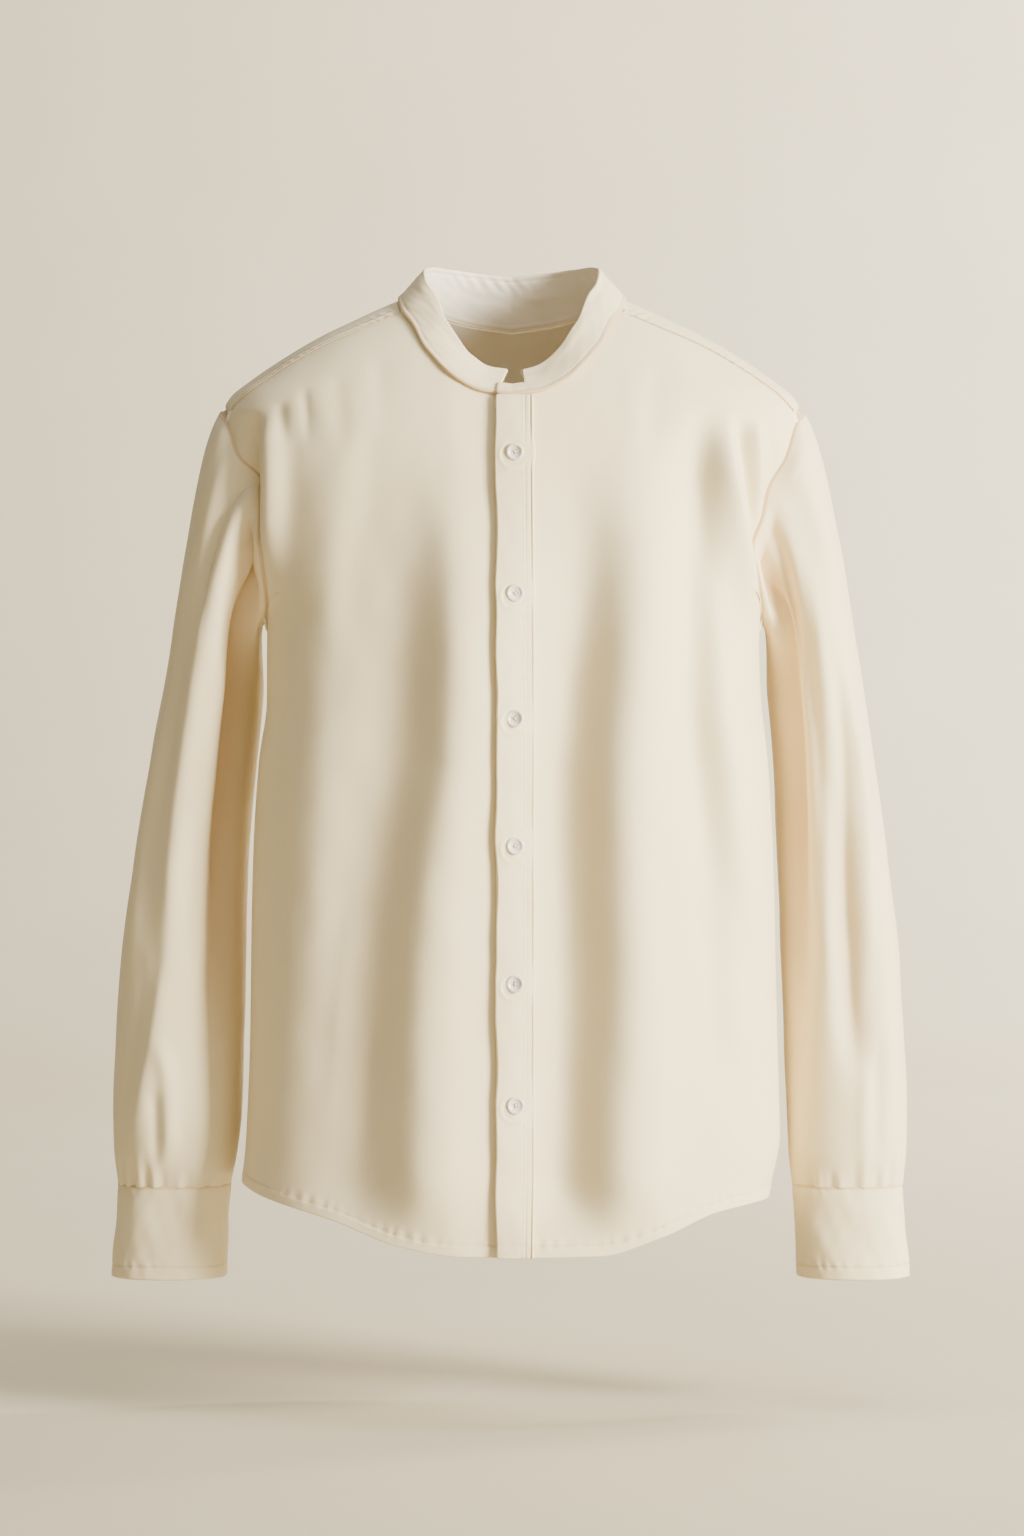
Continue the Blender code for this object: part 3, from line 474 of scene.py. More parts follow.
def inset(points, axis, distance, fromEnd=False, lift=stitching["raised"]):
    # a line on the cloth at a distance from an edge
    raised = points + lift * gridNormals(points)
    away = reach(points, axis, fromEnd)
    if axis == 0:
        raised, away = raised.swapaxes(0, 1), away.T
    if fromEnd:
        raised, away = raised[:, ::-1], away[:, ::-1]
    return np.array([[np.interp(distance, a, line[:, k]) for k in range(3)] for a, line in zip(away, raised)])


def addStitches(name, line, skip=0):  # the line stops short of both ends by the points that are skipped
    stitchLines.setdefault(name, []).append(line[skip : len(line) - skip])


def addObject(name, data):
    made = bpy.data.objects.new(name, data)
    bpy.context.scene.collection.objects.link(made)
    return made


# Materials
class Wire:
    def __init__(self, tree, socket):
        self.tree, self.socket = tree, socket

    def maths(self, operation, other, swapped=False):
        pair = (other, self) if swapped else (self, other)
        return addNode(self.tree, "ShaderNodeMath", {"operation": operation}, {0: pair[0], 1: pair[1]})

    def __add__(self, other):
        return self.maths("ADD", other)

    __radd__ = __add__

    def __mul__(self, other):
        return self.maths("MULTIPLY", other)

    __rmul__ = __mul__

    def __sub__(self, other):
        return self.maths("SUBTRACT", other)

    def __rsub__(self, other):
        return self.maths("SUBTRACT", other, True)


def addNode(tree, kind, settings=None, sockets=None, out=0):  # out is the output that the wire starts from
    node = tree.nodes.new(kind)
    for name, value in (settings or {}).items():
        setattr(node, name, value)
    for name, value in (sockets or {}).items():
        if isinstance(value, Wire):
            tree.links.new(value.socket, node.inputs[name])
        else:
            node.inputs[name].default_value = value
    return Wire(tree, node.outputs[out]) if len(node.outputs) else None


def newMaterial(name, constants):
    made = bpy.data.materials.new(name)
    made.use_nodes = True
    shader = made.node_tree.nodes["Principled BSDF"]
    for socket, value in constants.items():
        shader.inputs[socket].default_value = value
    return made, made.node_tree, shader


def dress(tree, shader, colour, roughness, height=None, strength=0.0, distance=0.0):  # links what varies
    tree.links.new(colour.socket, shader.inputs["Base Color"])
    tree.links.new(roughness.socket, shader.inputs["Roughness"])
    if height:
        relief = {"Strength": strength, "Distance": distance, "Height": height}
        tree.links.new(addNode(tree, "ShaderNodeBump", None, relief).socket, shader.inputs["Normal"])


def mixed(tree, factor, a, b, blend="MIX"):
    sockets = {0: factor, 6: a if isinstance(a, Wire) else (*a, 1), 7: b if isinstance(b, Wire) else (*b, 1)}
    return addNode(tree, "ShaderNodeMix", {"data_type": "RGBA", "blend_type": blend}, sockets, 2)


cloth = {
    "colour": (0.86, 0.720, 0.440),
    # the colour that the painted shade darkens towards in hollows, seams and stitch grooves
    "paintedShadeTone": (0.64, 0.430, 0.210),
    "pale": (0.89, 0.758, 0.480),
    # a paler colour painted on the inside faces as painted light
    "paintedLitInside": (0.93, 0.83, 0.65),
    "thread": 0.00042,
    "roughness": 0.66,
    "sheen": 0.22,
    "weave": 0.06,
    "brushed": 0.30,
    "slubs": (900.0, 120.0, 1.0),
    "relief": (0.16, 0.0004),
}
thread = {"dark": (0.74, 0.63, 0.47), "light": (0.90, 0.82, 0.68), "relief": (0.3, 0.0001)}
pearl = {
    "dark": (0.78, 0.70, 0.57),
    "light": (0.88, 0.81, 0.68),
    "bands": (0.84, 0.80, 0.72),
    "bandShare": 0.18,
}


def noise(tree, at, scale, detail, roughness=0.5, settings=None):
    sockets = {"Vector": at, "Scale": scale, "Detail": detail, "Roughness": roughness}
    return addNode(tree, "ShaderNodeTexNoise", settings, sockets)


def clothMaterial(name):
    made, tree, shader = newMaterial(
        name,
        {"Sheen Weight": cloth["sheen"], "Sheen Roughness": 0.45, "Specular IOR Level": 0.32, "IOR": 1.45},
    )
    uv = addNode(tree, "ShaderNodeUVMap", {"uv_map": "cloth"})
    place = addNode(tree, "ShaderNodeTexCoord", out=3)
    across = addNode(tree, "ShaderNodeSeparateXYZ", None, {0: uv})
    up = Wire(tree, across.socket.node.outputs[1])
    pace = 2 * math.pi / cloth["thread"]
    twill = (across * pace + up * pace * 0.55).maths("SINE", 0.0)
    weft = (up * pace * 0.9).maths("SINE", 0.0)
    stretched = addNode(tree, "ShaderNodeMapping", None, {"Vector": uv, "Scale": cloth["slubs"]})
    slub = noise(tree, stretched, 1.0, 2.0, settings={"noise_dimensions": "2D"})
    cloud = noise(tree, place, 9.0, 3.0, 0.55)
    nap = noise(tree, place, 420.0, 2.0, 0.6)
    # painted shade: a per-point value darkens and warms the colour in hollows, seams and stitch grooves;
    # below zero it paints the inside faces paler, as painted light
    hollow = addNode(tree, "ShaderNodeAttribute", {"attribute_name": "hollow"}, out=2)
    tone = addNode(tree, "ShaderNodeMapRange", None, {0: cloud, 1: 0.35, 2: 0.65, 3: 0.0, 4: 1.0})
    base = mixed(tree, tone * 0.35, cloth["colour"], cloth["pale"])
    paintedLitInside = addNode(tree, "ShaderNodeMapRange", None, {0: hollow, 1: 0.0, 2: -1.0, 3: 0.0, 4: 1.0})
    base = mixed(tree, paintedLitInside, mixed(tree, hollow, base, cloth["paintedShadeTone"]), cloth["paintedLitInside"])
    fine = 0.955 + 0.05 * slub + 0.035 * nap + 0.012 * twill
    grey = addNode(tree, "ShaderNodeCombineXYZ", None, {0: fine, 1: fine, 2: fine})
    rough = cloth["roughness"] + 0.10 * nap - 0.06 * tone
    height = cloth["weave"] * twill + cloth["weave"] * 0.6 * weft + 0.25 * slub + cloth["brushed"] * nap
    dress(tree, shader, mixed(tree, 1.0, base, grey, "MULTIPLY"), rough, height, *cloth["relief"])
    return made


def threadMaterial():
    made, tree, shader = newMaterial("ivory thread", {"Sheen Weight": 0.15, "Specular IOR Level": 0.35})
    ply = noise(tree, addNode(tree, "ShaderNodeTexCoord", out=3), 2600.0, 1.0)
    base = mixed(tree, ply, thread["dark"], thread["light"])
    dress(tree, shader, base, 0.5 + 0.2 * ply, ply, *thread["relief"])
    return made


def pearlMaterial():
    made, tree, shader = newMaterial(
        "pearl shell", {"IOR": 1.52, "Coat Weight": 0.5, "Coat Roughness": 0.08, "Subsurface Weight": 0.08}
    )
    shader.inputs["Subsurface Radius"].default_value = (0.002, 0.0018, 0.0015)
    place = addNode(tree, "ShaderNodeTexCoord", out=3)
    rings = {"Vector": place, "Scale": 60.0, "Distortion": 9.0}
    bands = addNode(tree, "ShaderNodeTexWave", {"wave_type": "RINGS"}, rings, out=1)
    cloud = noise(tree, place, 240.0, 3.0)
    base = mixed(tree, cloud, pearl["dark"], pearl["light"])
    dress(tree, shader, mixed(tree, bands * pearl["bandShare"], base, pearl["bands"]), 0.16 + 0.14 * cloud)
    return made


finishes = {"cloth": clothMaterial("ivory cloth"), "thread": threadMaterial(), "pearl": pearlMaterial()}
print("materials ready")


# Cloth shells
def facedOut(points, centre):  # columns run so that the grid's normals point away from the centre
    away = (points - np.array(centre, float)) * (1, 1, 0)
    return points if (gridNormals(points) * away).sum(-1).mean() > 0 else points[:, ::-1]


def lengths(points):  # the cloth's own measure across and up, in metres, for its weave
    return np.stack([reach(points, 1), reach(points, 0)], -1)


def shell(name, points, wall, closed=False, hollow=None, innerLift=None, paintedLitInside=0.0):
    # a wall inwards from a grid of points, with its edges rounded over
    rows, columns = points.shape[:2]
    out = gridNormals(points, closed)
    inside = points - out * (wall if innerLift is None else wall + innerLift[..., None])
    index = np.arange(rows * columns).reshape(rows, columns)
    right = np.roll(index, -1, 1) if closed else index[:, 1:]
    left = index if closed else index[:, :-1]
    quads = np.stack([left[:-1], right[:-1], right[1:], left[1:]], -1).reshape(-1, 4)
    count = rows * columns
    faces = [quads, quads[:, ::-1] + count]
    vertices = [points.reshape(-1, 3), inside.reshape(-1, 3)]
    source = [index.ravel(), index.ravel()]
    if closed:
        loops = [(index[0], index[1]), (index[-1][::-1], index[-2][::-1])]
    else:
        edge = np.concatenate([index[0], index[1:, -1], index[-1, -2::-1], index[-2:0:-1, 0]])
        row, column = np.clip(np.stack([edge // columns, edge % columns]), 1, [[rows - 2], [columns - 2]])
        loops = [(edge, row * columns + column)]
    flat, flatOut, flatIn = points.reshape(-1, 3), out.reshape(-1, 3), inside.reshape(-1, 3)
    total = 2 * count
    for edge, inner in loops:
        outer, back, normal = flat[edge], flatIn[edge], flatOut[edge]
        away = outer - flat[inner]
        away -= (away * normal).sum(-1, keepdims=True) * normal
        away /= np.maximum(np.linalg.norm(away, axis=-1, keepdims=True), 1e-12)
        rings = [edge]
        for angle in (45, 90, 135):
            a = math.radians(angle)
            middle, half = (outer + back) / 2, (outer - back) / 2
            reachOut = away * np.linalg.norm(half, axis=-1, keepdims=True)
            vertices.append(middle + half * math.cos(a) + reachOut * math.sin(a))
            rings.append(total + np.arange(len(edge)))
            source.append(edge)
            total += len(edge)
        rings.append(edge + count)
        for a, b in zip(rings, rings[1:]):
            faces.append(np.stack([a, b, np.roll(b, -1), np.roll(a, -1)], -1))
    vertices, faces, source = np.concatenate(vertices), np.concatenate(faces), np.concatenate(source)
    mesh = bpy.data.meshes.new(name)
    mesh.vertices.add(len(vertices))
    mesh.vertices.foreach_set("co", vertices.ravel())
    mesh.loops.add(faces.size)
    mesh.loops.foreach_set("vertex_index", faces.ravel())
    mesh.polygons.add(len(faces))
    mesh.polygons.foreach_set("loop_start", np.arange(0, faces.size, 4))
    mesh.update(calc_edges=True)
    layer = mesh.uv_layers.new(name="cloth")
    layer.data.foreach_set("uv", lengths(points).reshape(-1, 2)[source][faces.ravel()].ravel())
    # painted shade per point: darker in hollows, seams and stitch grooves, and below zero on the inside
    # faces, which are painted paler
    depth = mesh.attributes.new("hollow", "FLOAT", "POINT")
    paintedShadeTone = (np.zeros(count) if hollow is None else hollow.ravel())[source]
    paintedShadeTone[count : 2 * count] = -paintedLitInside  # the inside faces are painted paler, painted light that lifts their shade
    depth.data.foreach_set("value", paintedShadeTone)
    mesh.validate()
    mesh.shade_smooth()
    mesh.materials.append(finishes["cloth"])
    return addObject(name, mesh)


# Fronts, back and yoke
panels = {
    "frontColumns": 120,
    "frontRows": 250,
    "backColumns": 170,
    "backRows": 220,
    "seamColumns": 64,
    "neckColumns": 64,
    "yokeRows": 64,
    "wall": 0.0010,
    "hemTurn": 0.0100,
    "hemWall": 0.0005,
    "hemStitch": 0.0084,
    "hemHeightNear": -0.70,
    "underarmShare": 0.66,
    "seamSink": 0.0006,
    "seamEase": (0.0006, 0.0040),
    "backStitch": 0.0030,
    "yokeStitches": (0.0018, 0.0078),
    "yokeFold": 0.0004,
    "yokeFoldEase": (0.0075, 0.0100),
    "yokeWall": 0.0002,
    "yokeStitchRaised": 0.00006,
    "evenShare": 0.4,
}
# Painted shade: how strongly hollows, seams and rows of stitching are darkened in the cloth's colour
paintedShades = {"hollow": 0.08, "hollowDepth": 0.012, "seam": 0.75, "seamEase": (0.0002, 0.0017),
         "stitch": 0.30, "stitchHalf": 0.0008}


def sideEdge(v, side, back):
    seam = side * (math.pi / 2 + (1 if back else -1) * form["gap"] / 2 / form["seamRadius"])
    split, hem = panels["underarmShare"], hemHeight(np.array(side * form["hemEnd"]))
    low, arm = v[v < split], v[v >= split]
    z = hem + low / split * (form["underarm"] - hem)
    station = 1 - (arm - split) / (1 - split) * (1 - form["yokeStation"])
    return np.concatenate([np.stack([0 * z + seam, z], -1), armhole(station, side, back)])


def frontGrid(side):
    u = spaced(panels["frontColumns"], (0.0, 0.05, 1.0), (1.0, 0.10, 1.2))
    v = spaced(panels["frontRows"], (0.0, 0.014, 3.5), (0.85, 0.25, 0.4))
    x = form["placketLeft"] if side > 0 else form["placketRight"]
    low, top = hemHeight(np.array(x)), neckHeight(turnAt(x, neckHeight(turnAt(x, form["neckFrontNear"]))))
    z = low + v * (top - low)
    first, last = np.stack([turnAt(x + 0 * z, z), z], -1), sideEdge(v, side, False)
    firstX, lastX = bodyForm(*first[0])[0], bodyForm(*last[0])[0]
    hemX = firstX + u * (lastX - firstX)
    hem = np.stack([turnAt(hemX, hemHeight(hemX)), hemHeight(hemX)], -1)
    atNeck, atSeam = u[u < 0.5] * 2, u[u >= 0.5] * 2 - 1
    neckTurn = first[-1, 0] + atNeck * (side * math.radians(form["neckSeamTurn"]) - first[-1, 0])
    seamTurn = side * np.radians(read(shoulderSeam, atSeam, "turn"))
    seamZ = read(shoulderSeam, atSeam, "z") - form["gap"]
    above = np.concatenate([np.stack([neckTurn, neckHeight(neckTurn)], -1), np.stack([seamTurn, seamZ], -1)])
    hem[0], hem[-1], above[0], above[-1] = first[0], last[0], first[-1], last[-1]
    return patch(first, last, hem, above, u, v)


def backGrid():
    u = spaced(panels["backColumns"], (0.0, 0.06, 1.2), (1.0, 0.06, 1.2))
    v = spaced(panels["backRows"], (0.0, 0.014, 3.5), (1.0, 0.10, 0.6))
    left, right = sideEdge(v, 1, True), sideEdge(v, -1, True) + (2 * math.pi, 0)
    hemTurn = left[0, 0] + u * (right[0, 0] - left[0, 0])
    hemX = bodyForm(hemTurn, np.full_like(hemTurn, panels["hemHeightNear"]))[:, 0]
    hem = np.stack([hemTurn, hemHeight(hemX, True)], -1)
    topTurn = left[-1, 0] + u * (right[-1, 0] - left[-1, 0])
    top = np.stack([topTurn, np.full_like(topTurn, form["yokeBack"] - form["gap"] / 2)], -1)
    left[-1], right[-1], hem[0], hem[-1] = top[0], top[-1], left[0], right[0]
    return patch(left, right, hem, top, u, v)


def yokeGrid():
    seamShare = np.linspace(1, 0, panels["seamColumns"] + 1)
    seamTurn = np.radians(read(shoulderSeam, seamShare, "turn"))
    seam = np.stack([seamTurn, read(shoulderSeam, seamShare, "z") + form["gap"]], -1)
    first = form["neckSeamTurn"]
    roundNeck = np.radians(np.linspace(first, 360 - first, panels["neckColumns"] + 1))
    neck = np.stack([roundNeck, neckHeight(math.pi - np.abs(roundNeck - math.pi))], -1)
    front = np.concatenate([seam, neck[1:-1], seam[::-1] * (-1, 1) + (2 * math.pi, 0)])
    seamX = bodyForm(*front.T)[:, 0]
    even = panels["evenShare"]
    backX = np.linspace(1, -1, len(front)) * even + (1 - even) * seamX / seamX[0]
    backZ = form["yokeBack"] + form["gap"] / 2
    end = armhole(np.array([form["yokeStation"]]), 1, True)[0]
    width, depth, centre = bodySize(backZ, end[0])
    backX = backX / backX[0] * bodyForm(end[0], backZ)[0]
    backY = centre + depth * (1 - np.abs(backX / width) ** form["roundness"]) ** (1 / form["roundness"])
    v = spaced(panels["yokeRows"] + 1, (0.0, 0.10, 2.0), (1.0, 0.08, 2.0))
    half = v * 2
    ahead = armhole(form["yokeStation"] * (1 - half[half < 1]), 1, False)
    behind = armhole(form["yokeStation"] * (half[half >= 1] - 1), 1, True)
    endLine = np.concatenate([ahead, behind])
    frontXy, backXy = bodyForm(*front.T)[:, :2], np.stack([backX, backY], -1)
    left = bodyForm(*endLine.T)[:, :2]
    left[0], left[-1] = frontXy[0], backXy[0]
    u = np.linspace(0, 1, len(front))
    plan = patch(left, left * (-1, 1), frontXy, backXy, u, v)
    z = heightOver(plan[..., 0], plan[..., 1])
    z[0], z[-1] = front[:, 1], backZ
    z[:, 0] = z[:, -1] = np.concatenate([front[:1, 1], endLine[1:-1, 1], [backZ]])
    turn = np.arctan2(plan[..., 0], read(sections, z, "centre") - plan[..., 1])
    return np.stack([np.where(turn < 0, turn + 2 * math.pi, turn), z], -1)


def hollowOf(points, plain):  # painted shade: how deep the cloth lies below the plain form, painted darker and warmer there
    depth = -((points - plain) * gridNormals(plain)).sum(-1)
    return np.clip(depth / paintedShades["hollowDepth"], 0, 1) * paintedShades["hollow"]


def seamPaintedShade(away):  # a seam's narrow painted shade, which fades out over the next thread or two
    return paintedShades["seam"] * (1 - ramp(away, *paintedShades["seamEase"]))


# painted shade along a row of stitching
def stitchPaintedShade(away):
    return paintedShades["stitch"] * bell(away, paintedShades["stitchHalf"])


def hemmed(points):
    turn, away = panels["hemTurn"], reach(points, 0)
    thicker = panels["hemWall"] * (1 - ramp(away, turn - 0.0012, turn + 0.0004))
    points = raisedBy(points, thicker)
    rows = [panels["hemStitch"]]
    return sewn(points, 0, False, rows, groove=0.0007, pucker=0.00060, phase=1.7, pitch=0.0105)


def buildPanel(name, points, plain, atSeam, paintedLitInside=0.0):  # a front or the back, with the hem's stitches
    # painted shade in hollows, along the hem's stitching and at the top seam
    hollow = hollowOf(points, plain) + stitchPaintedShade(reach(points, 0) - panels["hemStitch"])
    hollow = hollow + seamPaintedShade(reach(points, 0, True)) * atSeam
    addStitches("hem", inset(points, 0, panels["hemStitch"]), 3)
    return shell(name + "_cloth", points, panels["wall"], hollow=hollow, paintedLitInside=paintedLitInside)


def buildFront(name, side):
    grid = frontGrid(side)[:, ::side]
    points = hemmed(bodySurface(grid[..., 0], grid[..., 1], under=side < 0))
    seamTurn = math.radians(form["neckSeamTurn"])
    atSeam = ramp(np.abs(grid[-1, :, 0]), seamTurn - 0.01, seamTurn)[None]
    sunk = panels["seamSink"] * (1 - ramp(reach(points, 0, True), *panels["seamEase"])) * atSeam
    points = raisedBy(points, -sunk)
    return buildPanel(name, points, bodyForm(grid[..., 0], grid[..., 1]), atSeam)


def buildBack():
    grid = backGrid()
    points = hemmed(bodySurface(grid[..., 0], grid[..., 1]))
    points = sewn(points, 0, True, [panels["backStitch"]], groove=0.0002, pucker=0.0002, phase=0.4)
    return buildPanel("back", points, bodyForm(grid[..., 0], grid[..., 1]), 1.0, paintedLitInside=1.0)


def buildYoke():
    grid = yokeGrid()
    points = bodySurface(grid[..., 0], grid[..., 1])[:, ::-1]
    count, rows, raised = panels["seamColumns"], panels["yokeStitches"], panels["yokeStitchRaised"]
    besideSeam = np.zeros(points.shape[1])
    besideSeam[: count - 2] = besideSeam[-count + 2 :] = 1
    dressed = sewn(points, 0, False, rows, groove=0.00065, pucker=0.00060, phase=0.8, pitch=0.0070)
    points = points + (dressed - points) * besideSeam[None, :, None]
    points = sewn(points, 0, True, rows, groove=0.00050, pucker=0.00040, phase=2.1, pitch=0.0080)
    folded = panels["yokeFold"] * (1 - ramp(reach(points, 0), *panels["yokeFoldEase"])) * besideSeam[None]
    points = raisedBy(points, folded)
    fromFront, fromBack = reach(points, 0), reach(points, 0, True)
    # painted shade at both seams and along the rows of stitching
    hollow = seamPaintedShade(fromFront) * besideSeam[None] + seamPaintedShade(fromBack)
    for distance in rows:
        hollow = hollow + stitchPaintedShade(fromFront - distance) * besideSeam[None]
        hollow = hollow + stitchPaintedShade(fromBack - distance)
        line = inset(points, 0, distance, lift=raised)
        addStitches("yoke", line[2 : count - 3])
        addStitches("yoke", line[-count + 3 : -2])
        addStitches("yoke", inset(points, 0, distance, True, lift=raised), 2)
    return shell("yoke_cloth", points, panels["wall"] + panels["yokeWall"], hollow=hollow, paintedLitInside=1.0)


# Placket, with its edge ridge and two rows of stitching that die out beside each button
placket = {
    "columns": 44,
    "rows": 380,
    "wall": 0.0020,
    "foot": -0.723,
    "height": 0.6475,
    "bandFoot": 0.0020,
    "neckTurn": 0.03,
    "clear": 0.0006,
    "belly": 0.0005,
    "stitchLine": 0.0098,
    "edgeLine": 0.0139,
    "stitchGroove": (-0.00035, 0.0098, 0.0008),
    "edgeGroove": (-0.0005, 0.0139, 0.0007),
    "edgeRidge": (0.0005, 0.0152, 0.0008),
    "pucker": 0.00018,
    "wander": (0.9, 0.049),
    "unevenness": 0.0004,
    "edgeWaves": ((0.0005, 46, 0.6), (0.0004, 93, 2.0)),
    "edgePull": (0.0006, 0.004, 0.012),
    "bulge": (0.0011, 0.011, 0.0003),
    "calmSpread": 0.0125,
    "buttonHeights": (-0.119, -0.226, -0.320, -0.4155, -0.519, -0.610),
}


def nearButtons(z, spread):
    return sum(bell(z - height, spread) for height in placket["buttonHeights"])


# The cloth round each button, as (rise, distance, half-width): a soft ring with a groove inside it, on one
# side of a middle that is a little off the button, the dent beneath it, and a slanting crease below it
dents = {
    "off": (0.0016, 0.0022),
    "sideEase": 0.006,
    "ring": (0.0006, 0.0098, 0.0014),
    "groove": (-0.0005, 0.0080, 0.0012),
    "dent": (-0.0009, 0.0, 0.0060),
    "crease": (0.0004, -0.010, 0.0022),
    "creaseReach": 0.010,
    "slants": (-0.5, 0.7),
}


def ridge(away, rise, distance, half):
    return rise * bell(away - distance, half)


def buttonDents(x, z):
    lift, across = 0 * x, x - form["buttonLine"]
    for number, height in enumerate(placket["buttonHeights"]):
        up = z - height
        dx, dz = across + dents["off"][0], up + dents["off"][1]
        ring, side = np.hypot(dx, dz), 0.5 + 0.5 * np.tanh((-dx - dz) / dents["sideEase"])
        lift = lift + (ridge(ring, *dents["ring"]) + ridge(ring, *dents["groove"])) * side
        lift = lift + ridge(np.hypot(across, up), *dents["dent"])
        slant = across * dents["slants"][number % 2] + up
        lift = lift + ridge(slant, *dents["crease"]) * bell(across, dents["creaseReach"])
    return lift


def placketGrid():
    low, top = hemHeight(np.array(0.0)), neckHeight(placket["neckTurn"]) - placket["bandFoot"]
    closer = [((h - placket["foot"]) / placket["height"], 0.015, 1.5) for h in placket["buttonHeights"]]
    z = (low + spaced(placket["rows"], (0.0, 0.014, 2.0), *closer) * (top - low))[:, None]
    across = spaced(placket["columns"], (0.78, 0.03, 1.5), (0.93, 0.05, 3.0), (0.0, 0.03, 2.0))
    x = form["placketLeft"] + across * (form["placketRight"] - form["placketLeft"])
    wave = sum(size * np.sin(z * pace + phase) for size, pace, phase in placket["edgeWaves"])
    pull, above, spread = placket["edgePull"]
    wave = wave + pull * nearButtons(z - above, spread)
    swell, spread, less = placket["bulge"]
    x = x - wave * (1 - across) ** 3 + (swell * nearButtons(z, spread) - less) * across**6
    points = bodySurface(turnAt(x, z + 0 * x), z + 0 * x)
    lift = form["gap"] + form["doubleWall"] + placket["clear"] + placket["belly"] * np.sin(across * math.pi)
    calm = 1 - np.clip(nearButtons(z, placket["calmSpread"]), 0, 1)
    for name in ("edgeGroove", "stitchGroove", "edgeRidge"):
        lift = lift + calm * ridge(x, *placket[name])
    size, over = placket["wander"]
    pucker = np.sin(z * 2 * math.pi / stitching["puckerPitch"] + size * np.sin(z * 2 * math.pi / over))
    pucker = pucker * bell(x - placket["stitchLine"] - stitching["grooveHalf"], stitching["puckerHalf"])
    lift = lift + placket["pucker"] * pucker * calm + unevenness(x * 2, z * 2, placket["unevenness"])
    return raisedBy(points, lift + buttonDents(x, z))


def buildPlacket():  # its edge has a ridge, and its stitches die out beside each button
    points = sewn(placketGrid(), 0, False, [panels["hemStitch"]], groove=0.0003, pucker=0.0001, phase=1.7)
    across, calm = points[..., 0], 1 - np.clip(nearButtons(points[..., 2], placket["calmSpread"]), 0, 1)
    # painted shade along the stitching and the edge line, none beside the buttons
    hollow = stitchPaintedShade(across - placket["stitchLine"]) + 1.6 * stitchPaintedShade(across - placket["edgeLine"])
    made = shell("placket_cloth", points, placket["wall"], hollow=hollow * calm)
    column = np.abs(points[len(points) // 2, :, 0] - placket["stitchLine"]).argmin()
    line = points[:, column] + stitching["raised"] * gridNormals(points)[:, column]
    keep = nearButtons(line[:, 2], placket["calmSpread"]) < 0.35
    for run in np.split(np.arange(len(line)), np.nonzero(np.diff(keep.astype(int)))[0] + 1):
        if keep[run[0]] and len(run) > 6:
            addStitches("placket", line[run])
    return made, points


# Collar band
collar = {
    "rows": 40,
    "frontColumns": 90,
    "moreColumns": 40,
    "backColumns": 120,
    "wall": 0.0026,
    "tabShare": 0.41,
    "tabFrom": 0.0112,
    "tabEase": 0.0006,
    "end": -0.0125,
    "endHeight": -0.073,
    "endLean": 0.0050,
    "endLeanOver": 0.030,
    "middle": (0, 0.005, 0),
    "stitchUp": 0.0034,
    "stitchGroove": (-0.0003, 0.0034, 0.0009),
    "footRise": (0.0003, 0.0014),
    "unevenness": 0.0005,
    "ripple": (-0.0006, 0.024, 0.004),
    "ripplePace": 55,
    "gathers": (0.0007, 0.006, 0.0050),
    "gatherPitch": 0.0105,
    "rim": (-0.0004, 0.0030, 0.0011),
}


def softened(line, passes=40):
    for _ in range(passes):
        line = np.concatenate([line[:1], (line[:-2] + 2 * line[1:-1] + line[2:]) / 4, line[-1:]])
    return line


def bandSurface(turns, under, share):
    wrapped = (turns + math.pi) % (2 * math.pi) - math.pi
    z = neckHeight(wrapped)
    degrees = np.abs(np.degrees(wrapped))
    height = read(neckline, degrees, "height") * share
    tilt = np.radians(read(neckline, degrees, "tilt"))
    foot = np.where(under[:, None], bodySurface(wrapped, z, under=True), bodySurface(wrapped, z))
    level = np.stack([np.sin(wrapped), -np.cos(wrapped), 0 * z], -1)
    foot = foot + softened(surfaceNormal(wrapped, z)) * (2 * form["gap"] + form["doubleWall"])
    up = np.array([0, 0, 1.0])
    return foot + (height * np.cos(tilt))[:, None] * up - (height * np.sin(tilt))[:, None] * level


